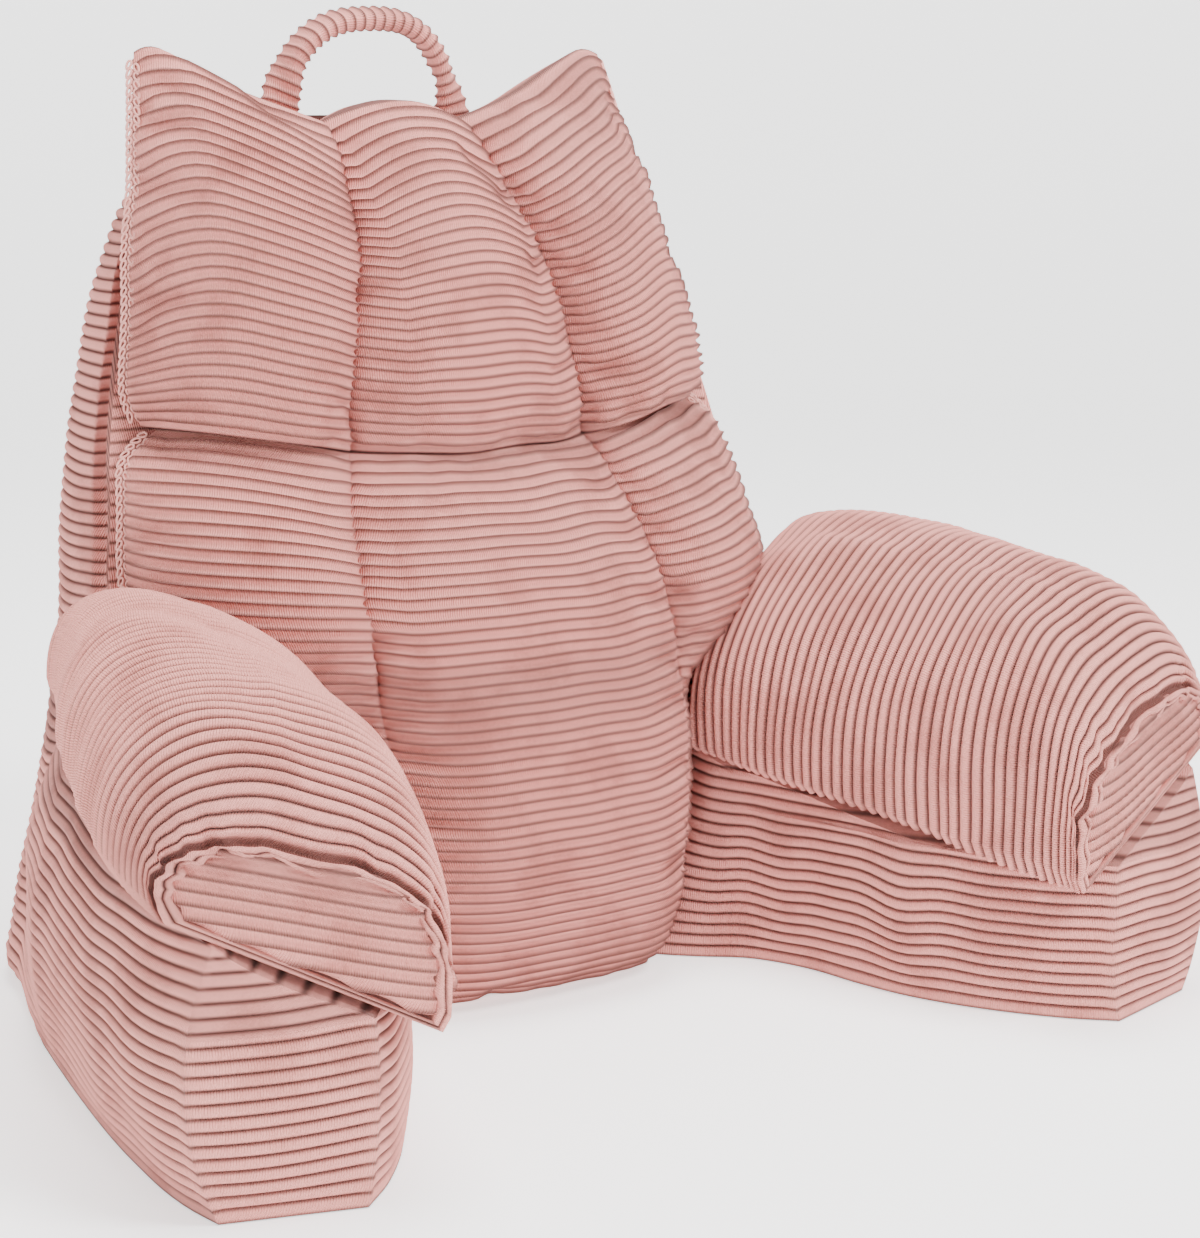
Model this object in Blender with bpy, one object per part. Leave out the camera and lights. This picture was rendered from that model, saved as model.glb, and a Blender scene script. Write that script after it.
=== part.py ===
"""Reading pillow with arms: a stuffed backrest with two arms, sewn in wide-wale corduroy.

Metres, +Z up, the front towards -Y, the sitter's left arm on +X. Lengths in plan are measured from the
hip line, which runs along X just in front of the backrest's foot; one parent empty then moves the whole
pillow so that the world origin is the middle of its footprint.
"""

import bmesh
import bpy
import numpy as np

GAP = 0.0003            # clearance between neighbouring pieces

# Driving dimensions of the backrest
BACK_HEIGHT = 0.538     # top of the backrest's shoulder
BACK_DEPTH = 0.185      # hip line to the rear panel
FRONT_FOOT_Y = -0.042   # where the leaning front plane meets the floor
FRONT_LEAN = 0.287      # how far the front plane moves back for each metre of height
FLOOR_HALF_WIDTH = 0.322
WAIST_HALF_WIDTH = 0.238
SHOULDER_HALF_WIDTH = 0.175

# Driving dimensions of the cushions on the backrest
CREASE_HEIGHT = 0.338   # the seam between head and lumbar cushions, on the centre line
CREASE_RISE = 0.5       # how fast that seam climbs towards the sides
NOTCH = (0.049, 0.544)  # half-width and height of the dip between the ears
EAR = (0.166, 0.596)    # half-width and height of an ear's tip
HEAD_CROWN = 0.052
LUMBAR_CROWN = 0.074
EDGE_THICKNESS = 0.012
CHANNEL_DEPTH = 0.036   # how far a sewn channel stands off the front plane

# Driving dimensions of the arms and their pads, in plan from the hip line
ARM_INNER = np.array([(0.093, -0.0445), (0.094, -0.066), (0.116, -0.090), (0.143, -0.113), (0.161, -0.150),
                      (0.170, -0.195), (0.182, -0.235), (0.205, -0.278), (0.233, -0.315), (0.257, -0.338)])
ARM_OUTER = np.array([(0.322, -0.0445), (0.325, -0.062), (0.329, -0.085), (0.333, -0.110), (0.339, -0.150),
                      (0.344, -0.190), (0.347, -0.225), (0.349, -0.260), (0.348, -0.290), (0.344, -0.316)])
ARM_END_BULGE = 0.014
PAD_INNER = np.array([(0.130, -0.063), (0.216, -0.345)])
PAD_OUTER = np.array([(0.292, -0.014), (0.358, -0.302)])
PAD_SEAT = (0.0918, 0.425, 0.280)   # height of the plane between arm and pad, and its slopes in X and Y
PAD_HEIGHT_REAR = 0.103
PAD_HEIGHT_FRONT = 0.123
PAD_HEIGHT_FULL = 0.7       # station where the crown reaches its full height
PAD_INNER_OVERHANG = 0.20   # how far the crown bulges past the seat, as a share of the half-width
PAD_OUTER_OVERHANG = 0.07
PAD_FLANK = 0.20            # how much further the outer flank bulges half way along
PAD_REAR_LEAN = 0.10        # how far the rear end panel leans back for each metre of height
PAD_REAR_ROUNDING = 0.78    # share of the crown's height left at the rear end panel
PAD_FRONT_ROUNDING = 0.54   # the same at the front end panel
PAD_REAR_LENGTH = 0.25      # share of the pad's length over which the rear is rounded
PAD_FRONT_LENGTH = 0.28     # the same at the front

# Driving dimensions of the carrying handle
HANDLE_HALF_SPAN = 0.066
HANDLE_TOP = 0.615
HANDLE_Y = 0.131
STRAP_HALF_WIDTH = 0.0115
STRAP_HALF_THICKNESS = 0.0055

CORDUROY = (0.66, 0.37, 0.33)


def clear_scene():
    """Remove every object, so that the model starts from nothing."""
    for item in list(bpy.data.objects):
        bpy.data.objects.remove(item, do_unlink=True)


def cloth(name, shade):
    """A rough, unpolished fabric, its colour a shade of the corduroy's."""
    material = bpy.data.materials.new(name)
    material.use_nodes = True
    shader = material.node_tree.nodes["Principled BSDF"]
    shader.inputs["Base Color"].default_value = (*[channel * shade for channel in CORDUROY], 1.0)
    shader.inputs["Roughness"].default_value = 0.9
    shader.inputs["Metallic"].default_value = 0.0
    return material


def add_solid(name, build, material, parent):
    """Make an object from what build() puts in a bmesh, with its faces turned outwards."""
    shape = bmesh.new()
    build(shape)
    bmesh.ops.recalc_face_normals(shape, faces=shape.faces)
    mesh = bpy.data.meshes.new(name)
    shape.to_mesh(mesh)
    shape.free()
    mesh.shade_smooth()
    mesh.materials.append(material)
    solid = bpy.data.objects.new(name, mesh)
    bpy.context.collection.objects.link(solid)
    solid.parent = parent
    return solid


def skin_rings(shape, rings):
    """Join closed rings of equal count one after the other, and close both ends with a flat face."""
    loops = [[shape.verts.new(point) for point in ring] for ring in rings]
    for here, there in zip(loops, loops[1:]):
        for index in range(len(here)):
            after = (index + 1) % len(here)
            shape.faces.new((here[index], here[after], there[after], there[index]))
    shape.faces.new(loops[0][::-1])
    shape.faces.new(loops[-1])


def skin_slab(shape, front):
    """Close a grid of front points with side walls and one flat back face on the front plane."""
    rows, columns = front.shape[:2]
    grid = [[shape.verts.new(point) for point in row] for row in front]
    for row in range(rows - 1):
        for column in range(columns - 1):
            shape.faces.new((grid[row][column], grid[row][column + 1],
                             grid[row + 1][column + 1], grid[row + 1][column]))
    rim = ([(0, column) for column in range(columns)]
           + [(row, columns - 1) for row in range(1, rows)]
           + [(rows - 1, column) for column in range(columns - 2, -1, -1)]
           + [(row, 0) for row in range(rows - 2, 0, -1)])
    near = [grid[row][column] for row, column in rim]
    far = [shape.verts.new((v.co.x, front_plane(v.co.z) - GAP, v.co.z)) for v in near]
    for index in range(len(rim)):
        after = (index + 1) % len(rim)
        shape.faces.new((near[index], near[after], far[after], far[index]))
    shape.faces.new(far)


def smoothstep(low, high, value):
    """0 below low, 1 above high, and an S-shaped ramp between them."""
    share = np.clip((value - low) / (high - low), 0.0, 1.0)
    return share * share * (3.0 - 2.0 * share)


def front_plane(z):
    """Y of the backrest's leaning front plane at height z."""
    return FRONT_FOOT_Y + FRONT_LEAN * z


def crease(x):
    """Height of the seam between the head cushion and the lumbar cushion."""
    return CREASE_HEIGHT + CREASE_RISE * x * x


def channel_seam(z):
    """Half-width of the centre channel: a barrel below the crease, drawn in to the notch above it."""
    barrel = 0.138 - np.where(z > 0.17, 1.69, 1.9) * (z - 0.17) ** 2
    drawn_in = 0.092 - 0.043 * np.clip((z - 0.36) / (NOTCH[1] - 0.36), 0.0, 1.0) ** 1.4
    return np.where(z < crease(0.088), barrel, drawn_in)


def head_edge(z):
    """Half-width of the head cushion, with its lower corner rounded."""
    return 0.211 - 0.19 * (z - 0.388) - 16.0 * np.clip(0.388 - z, 0.0, None) ** 2


def head_top(x):
    """Height of the head cushion's upper edge: a low arch in the middle and an ear at each side."""
    side = np.abs(x)
    climb = np.clip((side - NOTCH[0]) / (EAR[0] - NOTCH[0]), 0.0, 1.2) ** 1.25
    arch = 0.009 * np.clip(1.0 - (side / NOTCH[0]) ** 2, 0.0, None)
    return NOTCH[1] + arch + (EAR[1] - NOTCH[1]) * climb - 28.0 * np.clip(side - 0.152, 0.0, None) ** 2


def lumbar_edge(z):
    """Half-width of the lumbar cushion: full beside the waist, and the bare centre channel near the floor."""
    full = 0.230 - 1.5 * (z - 0.262) ** 2 - 24.0 * np.clip(z - 0.33, 0.0, None) ** 2
    return waist(z) + (full - waist(z)) * smoothstep(0.15, 0.24, z)


def waist(z):
    """Half-width of the lumbar cushion between the arms."""
    return channel_seam(z) + 0.006


def channel_columns(edge, seam):
    """X across the cushion: edge, seam, seam, edge, with the columns closer together near each seam."""
    side = 0.5 - 0.5 * np.cos(np.linspace(0.0, np.pi, 8))
    centre = 0.5 - 0.5 * np.cos(np.linspace(0.0, np.pi, 11))
    left = -edge + (edge - seam) * side
    middle = -seam + 2.0 * seam * centre
    return np.concatenate([left, middle[1:], -left[::-1][1:]])


def cushion_front(bottom, top, edge, rows, crown, side_share, foot):
    """Front points of a three-channel cushion between two edge curves.

    Its height off the front plane is a base that rises from the outer edge to the channel seam, plus a
    crown over each channel, both faded towards the lower and upper edges. side_share(z) is how much of
    that crown the outer channels keep, and foot is how much of the height is left at the lower edge.
    """
    across = channel_columns(1.0, 0.5)
    levels = 0.5 - 0.5 * np.cos(np.linspace(0.0, np.pi, rows))
    front = np.zeros((rows, len(across), 3))
    for row, level in enumerate(levels):
        x = across * 0.2
        for _ in range(4):
            z = bottom(x) + (top(x) - bottom(x)) * level
            outer, seam = edge(z), channel_seam(z)
            inside = np.abs(across) <= 0.5
            x = np.where(inside, across * 2.0 * seam,
                         np.sign(across) * (seam + (outer - seam) * (np.abs(across) - 0.5) * 2.0))
        place = np.where(inside, across * 2.0, (np.abs(across) - 0.75) * 4.0)
        over = np.clip(1.0 - np.abs(place) ** 2.4, 0.0, 1.0) ** 0.6
        width = np.where(inside, 1.0, np.clip((outer - seam) / 0.07, 0.0, 1.0))
        base = np.where(inside, 1.0, np.clip((1.0 - np.abs(across)) * 2.0, 0.0, 1.0) ** 0.8)
        fade = np.clip(1.0 - abs(2.0 * level - 1.0) ** 3.0, 0.0, 1.0) ** 0.55
        fade = fade + (1.0 - fade) * foot * (level < 0.5)
        gain = np.where(inside, 1.0, 0.78 * width * side_share(z))
        lift = EDGE_THICKNESS + fade * ((CHANNEL_DEPTH - EDGE_THICKNESS) * base + crown * over * gain)
        front[row] = np.stack([x, front_plane(z) - lift, z], axis=-1)
    return front


def head_cushion(shape):
    """Three upright channels above the crease, the outer two drawn up into ears."""
    skin_slab(shape, cushion_front(lambda x: crease(x) + GAP, head_top, head_edge, 11, HEAD_CROWN,
                                   lambda z: 1.0, 0.0))


def lumbar_cushion(shape):
    """Three upright channels below the crease, the middle one running down to the floor."""
    skin_slab(shape, cushion_front(lambda x: 0.0 * x, lambda x: crease(x) - GAP, lumbar_edge, 15,
                                   LUMBAR_CROWN, lambda z: smoothstep(0.19, 0.29, z), 0.16))


def back_half_widths(z):
    """Half-width of the backrest at its front plane and at its rear corner, at height z."""
    drawn = (WAIST_HALF_WIDTH - SHOULDER_HALF_WIDTH) * (np.clip(z - 0.23, 0.0, None) / 0.27) ** 1.7
    front = WAIST_HALF_WIDTH - drawn + (FLOOR_HALF_WIDTH - WAIST_HALF_WIDTH) * (1.0 - smoothstep(0.10, 0.25, z))
    rear = WAIST_HALF_WIDTH + 0.002 - drawn + 0.052 * np.clip(1.0 - z / 0.23, 0.0, 1.0) ** 1.2
    shoulder = np.clip(1.0 - (np.clip(z - 0.478, 0.0, None) / 0.066) ** 2.6, 0.0, 1.0) ** 0.40
    return front * shoulder, rear * shoulder


def backrest(shape):
    """Upright wedge: flat foot and front, softly rounded rear corners and a round shoulder."""
    levels = (0.0, 0.018, 0.06, 0.11, 0.15, 0.19, 0.23, 0.29, 0.35, 0.41, 0.46, 0.495, 0.52, 0.532, BACK_HEIGHT)
    turn = np.linspace(0.0, np.pi / 2.0, 7)
    rings = []
    for z in levels:
        front_w, rear_w = back_half_widths(z)
        foot = 0.012 * max(0.0, 1.0 - z / 0.018) ** 2
        top = 0.045 * max(0.0, (z - 0.44) / (BACK_HEIGHT - 0.44)) ** 2
        rear_y = BACK_DEPTH - foot - top
        front_w, rear_w = front_w - foot * 0.6, rear_w - foot
        front_y = front_plane(z)
        reach = (0.46 + 0.16 * smoothstep(0.05, 0.25, z)) * (rear_y - front_y)
        corner_x = rear_w * 0.30
        right = [(front_w, front_y), (front_w * 0.6 + rear_w * 0.4, front_y + 0.22 * (rear_y - front_y))]
        right += [(rear_w - corner_x + corner_x * np.cos(a), rear_y - reach + reach * np.sin(a)) for a in turn]
        right.append(((rear_w - corner_x) * 0.45, rear_y + 0.002))
        left = [(-x, y) for x, y in right[::-1]]
        rings.append([(x, y, z) for x, y in right + left])
    skin_rings(shape, rings)


def pad_seat(x, y):
    """Height of the sloping plane on which an arm pad is sewn."""
    return PAD_SEAT[0] + PAD_SEAT[1] * np.abs(x) + PAD_SEAT[2] * y


def arm(shape, side):
    """A stuffed arm: rings from its root at the backrest to its front end panel."""
    wall, over, under = np.linspace(0.0, 1.0, 5), np.linspace(0.0, 1.0, 7)[1:], np.linspace(0.0, 1.0, 5)[1:-1]
    rings = []
    for step, (inner, outer) in enumerate(zip(ARM_INNER, ARM_OUTER)):
        forward = step / (len(ARM_INNER) - 1)
        hug = 1.0 - smoothstep(0.0, 0.45, forward)
        inset = 0.006 + 0.024 * (1.0 - smoothstep(0.0, 0.8, forward))
        z_in = z_out = 0.12
        for _ in range(6):
            z_in = pad_seat(inner[0] + hug * (waist(z_in) - waist(0.0)), inner[1]) - GAP
            z_out = pad_seat(outer[0] - inset, outer[1]) - GAP
        ring = []
        for share in wall:
            z = share * z_in
            swell = 0.005 * np.sin(np.pi * share) * smoothstep(0.1, 0.5, forward) * (1.0 - 0.7 * forward)
            tuck = 0.006 * (1.0 - share) ** 4 * forward
            ring.append((inner[0] + hug * (waist(z) - waist(0.0)) - swell + tuck, inner[1], z))
        top_in, top_out = np.array(ring[-1]), np.array((outer[0] - inset, outer[1], z_out))
        for share in over:
            x, y = (top_in + (top_out - top_in) * share)[:2]
            ring.append((x, y, pad_seat(x, y) - GAP))
        for share in wall[::-1][1:]:
            z = share * z_out
            swell = 0.014 * np.sin(np.pi * share) - 0.006 * (1.0 - share) ** 4
            ring.append((outer[0] - inset * share ** 1.5 + swell, outer[1], z))
        foot_in, foot_out = np.array(ring[0]), np.array(ring[-1])
        for share in under:
            ring.append(tuple(foot_out + (foot_in - foot_out) * share))
        rings.append(ring)
    rings[0] = [(x, front_plane(z) - GAP, z) for x, y, z in rings[0]]
    rings.append(end_dome(np.array(rings[-1])))
    skin_rings(shape, [[(side * x, y, z) for x, y, z in ring] for ring in rings])


def end_dome(ring):
    """The end panel's raised middle: the last ring drawn in sideways and moved forward."""
    centre = ring.mean(axis=0)
    along = ring[0] - ring[12]
    normal = np.array((along[1], -along[0], 0.0)) / np.hypot(along[0], along[1])
    normal *= -np.sign(normal[1])
    dome = centre + (ring - centre) * np.array((0.72, 0.72, 0.86)) + normal * ARM_END_BULGE
    dome[:, 2] = np.where(ring[:, 2] < 1e-6, 0.0, dome[:, 2])
    return [tuple(point) for point in dome]


def arm_pad(shape, side):
    """A tall crowned pad on the arm: rings with a flat seat and a superelliptic crown, lower at both ends."""
    turn = np.linspace(np.pi, 0.0, 19)
    seat = np.linspace(1.0, -1.0, 7)[1:-1]
    stations = 0.5 - 0.5 * np.cos(np.linspace(0.0, np.pi, 16))
    rings = []
    for s in stations:
        inner = PAD_INNER[0] + (PAD_INNER[1] - PAD_INNER[0]) * s
        outer = PAD_OUTER[0] + (PAD_OUTER[1] - PAD_OUTER[0]) * s
        rear = np.sqrt(max(0.0, 1.0 - max(0.0, 1.0 - s / PAD_REAR_LENGTH) ** 2))
        front = np.sqrt(max(0.0, 1.0 - max(0.0, 1.0 - (1.0 - s) / PAD_FRONT_LENGTH) ** 2))
        height = PAD_HEIGHT_REAR + (PAD_HEIGHT_FRONT - PAD_HEIGHT_REAR) * min(1.0, s / PAD_HEIGHT_FULL)
        height *= PAD_REAR_ROUNDING + (1.0 - PAD_REAR_ROUNDING) * rear
        height *= PAD_FRONT_ROUNDING + (1.0 - PAD_FRONT_ROUNDING) * front
        swell = min(rear + 0.3, front + 0.3, 1.0)
        outer_overhang = PAD_OUTER_OVERHANG + PAD_FLANK * smoothstep(0.0, 0.6, s) * front
        lean = PAD_REAR_LEAN * (1.0 - smoothstep(0.0, 0.4, s))
        ring = []
        for a in turn:
            overhang = swell * np.where(np.cos(a) > 0.0, outer_overhang, PAD_INNER_OVERHANG)
            across = np.sign(np.cos(a)) * abs(np.cos(a)) ** 0.87 * (1.0 + overhang * np.sin(a))
            x, y = (inner + outer) / 2.0 + (outer - inner) / 2.0 * across
            rise = height * np.sin(a) ** 0.87 if 0.0 < a < np.pi else 0.0
            ring.append((x, y + lean * rise, pad_seat(x, y) + rise))
        for across in seat:
            x, y = (inner + outer) / 2.0 + (outer - inner) / 2.0 * across
            ring.append((x, y, pad_seat(x, y)))
        rings.append(ring)
    skin_rings(shape, [[(side * x, y, z) for x, y, z in ring] for ring in rings])


def handle(shape):
    """A soft flat strap in an arch, which turns from facing forward at its ends to facing up at its top."""
    foot = BACK_HEIGHT + GAP
    rings = []
    for share in np.linspace(0.0, 1.0, 25):
        angle = np.pi * (1.0 - share)
        x = HANDLE_HALF_SPAN * np.sign(np.cos(angle)) * abs(np.cos(angle)) ** 0.8
        z = foot + (HANDLE_TOP - foot - STRAP_HALF_THICKNESS) * np.sin(angle) ** 0.8 if 0 < share < 1 else foot
        out = np.array((np.cos(angle), 0.0, np.sin(angle) if 0 < share < 1 else 0.0))
        turned = np.radians(78.0) * smoothstep(0.0, 0.5, np.sin(angle) ** 1.5)
        wide = np.cos(turned) * out + np.sin(turned) * np.array((0.0, 1.0, 0.0))
        thin = -np.sin(turned) * out + np.cos(turned) * np.array((0.0, 1.0, 0.0))
        centre = np.array((x, HANDLE_Y, z))
        ring = []
        for a in np.linspace(0.0, 2.0 * np.pi, 8, endpoint=False) + np.pi / 8.0:
            across = np.sign(np.cos(a)) * abs(np.cos(a)) ** 0.7 * STRAP_HALF_WIDTH
            through = np.sign(np.sin(a)) * abs(np.sin(a)) ** 0.7 * STRAP_HALF_THICKNESS
            ring.append(tuple(centre + wide * across + thin * through))
        rings.append(ring)
    skin_rings(shape, rings)


def main():
    """Build every sub-part under one empty that centres the footprint on the origin."""
    clear_scene()
    pillow = bpy.data.objects.new("reading_pillow", None)
    bpy.context.collection.objects.link(pillow)
    cover = cloth("corduroy_cover", 0.94)
    cushion = cloth("corduroy_cushion", 1.0)
    pad = cloth("corduroy_pad", 1.04)
    strap = cloth("corduroy_strap", 0.97)
    add_solid("backrest", backrest, cover, pillow)
    add_solid("head_cushion", head_cushion, cushion, pillow)
    add_solid("lumbar_cushion", lumbar_cushion, cushion, pillow)
    for name, side in (("left", -1.0), ("right", 1.0)):
        add_solid(f"arm_{name}", lambda shape: arm(shape, side), cover, pillow)
        add_solid(f"arm_pad_{name}", lambda shape: arm_pad(shape, side), pad, pillow)
    add_solid("handle", handle, strap, pillow)
    points = np.concatenate([[tuple(v.co) for v in child.data.vertices] for child in pillow.children])
    pillow.location.y = -(points[:, 1].min() + points[:, 1].max()) / 2.0


main()
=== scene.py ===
"""Looks of the reading pillow: wide-wale corduroy cushions, arm pads, cover, handle and overlocked edges.

Metres, +Z up, the front towards -Y. Every fabric panel is a grid whose rows follow the wales: a smooth base
surface, moved a little by a cloth simulation, and then grooved between the wales along its own normals.
"""

import logging
from dataclasses import dataclass, field
from enum import Enum
from typing import Callable

import bmesh
import bpy
import numpy as np
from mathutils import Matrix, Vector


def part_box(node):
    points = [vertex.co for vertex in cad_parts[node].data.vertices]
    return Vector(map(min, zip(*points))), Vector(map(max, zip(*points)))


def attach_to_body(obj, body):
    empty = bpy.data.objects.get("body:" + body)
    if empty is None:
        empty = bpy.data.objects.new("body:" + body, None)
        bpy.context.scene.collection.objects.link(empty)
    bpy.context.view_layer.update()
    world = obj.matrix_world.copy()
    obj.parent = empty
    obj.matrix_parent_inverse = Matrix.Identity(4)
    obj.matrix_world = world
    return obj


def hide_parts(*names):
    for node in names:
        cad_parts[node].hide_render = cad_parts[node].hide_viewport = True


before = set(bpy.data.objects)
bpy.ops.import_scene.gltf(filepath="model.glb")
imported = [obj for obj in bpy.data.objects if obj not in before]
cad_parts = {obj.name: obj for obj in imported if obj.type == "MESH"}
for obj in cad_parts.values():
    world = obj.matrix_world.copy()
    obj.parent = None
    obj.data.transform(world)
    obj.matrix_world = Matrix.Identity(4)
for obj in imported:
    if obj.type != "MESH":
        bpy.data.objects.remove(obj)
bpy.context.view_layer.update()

Array = np.ndarray
Surface = Callable[[Array, Array], Array]
LOG = logging.getLogger("reading_pillow")


class Slot(Enum):
    """The record's finishes, one for each kind of sewn part."""

    COVER = "corduroy_cover"
    CUSHION = "corduroy_cushion"
    PAD = "corduroy_pad"
    STRAP = "corduroy_strap"


# ---------------------------------------------------------------------------------------------------------
# Curves, ripples and the weave
# ---------------------------------------------------------------------------------------------------------

def smoothstep(low: float, high: float, value: Array) -> Array:
    """0 below low, 1 above high, and an S-shaped ramp between them."""
    share = np.clip((value - low) / (high - low), 0.0, 1.0)
    return share * share * (3.0 - 2.0 * share)


def hump(share: Array, power: float) -> Array:
    """0 at a share of 0 or 1, and near 1 between them: the higher the power, the flatter."""
    return np.clip(1.0 - np.abs(2.0 * share - 1.0) ** power, 0.0, 1.0)


def quarter(share: Array) -> Array:
    """A quarter of an ellipse, which rises steeply from 0 and is 1 from a share of 1 on."""
    return np.sqrt(np.clip(1.0 - np.clip(1.0 - share, 0.0, None) ** 2, 0.0, 1.0))


def signed_power(value: Array, power: float) -> Array:
    """A power that keeps its value's sign, as superellipses need it."""
    return np.sign(value) * np.abs(value) ** power


def unit(vectors: Array) -> Array:
    """The same directions at length 1."""
    return vectors / np.linalg.norm(vectors, axis=-1, keepdims=True)


def distances(points: Array) -> Array:
    """How far along a line of points each point lies."""
    return np.append(0.0, np.cumsum(np.linalg.norm(np.diff(points, axis=0), axis=1)))


def read_line(wanted: Array, places: Array, points: Array) -> Array:
    """Read a line of points at other places along it."""
    return np.stack([np.interp(wanted, places, points[:, axis]) for axis in range(3)], axis=-1)


RIPPLE_SINES = ((1.0, 1.0, 1.0), (0.6, 1.618, 2.3), (0.5, 0.571, 4.1))  # height, rate and shift of each


def ripple(place: Array, wavelength: float, seed: float) -> Array:
    """An uneven wave between -1 and 1: sines whose lengths have no common measure.

    Args:
        place: Where to read the wave, in metres.
        wavelength: The highest sine's length, in metres.
        seed: A shift that makes each use different.

    Returns:
        The wave's height at each place.
    """
    turn = 2.0 * np.pi * place / wavelength
    total = sum(height for height, _, _ in RIPPLE_SINES)
    return sum(height * np.sin(rate * turn + shift * seed) for height, rate, shift in RIPPLE_SINES) / total


def curve_at(control: Array, nodes: Array, wanted: Array) -> Array:
    """Read a smooth curve through control points, row by row.

    Cubic Hermite pieces, each tangent being the slope between a point's two neighbours.

    Args:
        control: rows x points x coordinates.
        nodes: The curve parameter at each control point, rising.
        wanted: rows x columns of parameters to read.

    Returns:
        rows x columns x coordinates.
    """
    last = len(nodes) - 1
    before, after = np.maximum(np.arange(last + 1) - 1, 0), np.minimum(np.arange(last + 1) + 1, last)
    slope = (control[:, after] - control[:, before]) / (nodes[after] - nodes[before])[None, :, None]
    index = np.clip(np.searchsorted(nodes, wanted, side="right") - 1, 0, last - 1)
    step = nodes[index + 1] - nodes[index]
    t = np.clip((wanted - nodes[index]) / step, 0.0, 1.0)[..., None]
    row = np.arange(control.shape[0])[:, None]
    here, there = control[row, index], control[row, index + 1]
    lean_here, lean_there = slope[row, index] * step[..., None], slope[row, index + 1] * step[..., None]
    return ((1 + 2 * t) * (1 - t) ** 2 * here + t * (1 - t) ** 2 * lean_here
            + t * t * (3 - 2 * t) * there + t * t * (t - 1) * lean_there)


def resample(values: Array, rows: Array, columns: Array, new_rows: Array, new_columns: Array) -> Array:
    """Carry a grid of values smoothly from a coarse grid of parameters to a fine one."""
    across = curve_at(values, columns, np.broadcast_to(new_columns, (len(rows), len(new_columns))))
    turned = across.transpose(1, 0, 2)
    along = curve_at(turned, rows, np.broadcast_to(new_rows, (len(new_columns), len(new_rows))))
    return along.transpose(1, 0, 2)


@dataclass(frozen=True)
class Weave:
    """Wide-wale corduroy: rounded ribs with narrow grooves between them."""

    pitch: float = 0.0073
    depth: float = 0.0034
    roundness: float = 0.80
    phases: tuple[float, ...] = (0.0, 0.06, 0.17, 0.33, 0.5, 0.67, 0.83, 0.94)

    def rows(self, wales: int) -> Array:
        """Wale counts of all rows: each wale's phases, and the last groove."""
        return np.append((np.arange(wales)[:, None] + np.array(self.phases)).ravel(), float(wales))

    def groove(self, wale: Array) -> Array:
        """How far the surface drops below a wale's top: all the depth at each whole count."""
        return self.depth * (1.0 - np.abs(np.sin(np.pi * wale)) ** self.roundness)


FINE = Weave()
COARSE = Weave(depth=0.0028, phases=(0.0, 0.09, 0.28, 0.5, 0.72, 0.91))
WOBBLE_SIDEWAYS, WOBBLE_UPWARDS = 0.0012, 0.0016
WOBBLE_STARTS = 0.03  # height by which the waves are in full, from none at the floor


def wobble(points: Array) -> Array:
    """The unevenness of hand-filled cloth: long, low waves that follow from the place alone.

    Panels that share a seam are moved alike, so the seam stays shut.
    """
    x, y, z = np.moveaxis(points, -1, 0)
    low = smoothstep(0.0, WOBBLE_STARTS, z)
    shift = np.stack([WOBBLE_SIDEWAYS * ripple(z + 0.6 * y, 0.12, 0.4) * low,
                      WOBBLE_SIDEWAYS * ripple(x + 0.5 * z, 0.13, 1.9) * low,
                      WOBBLE_UPWARDS * ripple(x + 0.8 * y, 0.11, 3.1) * low], axis=-1)
    return points + shift


# ---------------------------------------------------------------------------------------------------------
# Panels, their settling and their meshes
# ---------------------------------------------------------------------------------------------------------

SEAM_WALES = 0.45  # wales over which the ribs rise beside a seam that runs along them
WELD = 2e-5
FRAMES = 20
SHARP_ANGLE = np.radians(80.0)
MIRROR = np.array((-1.0, 1.0, 1.0))


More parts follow.
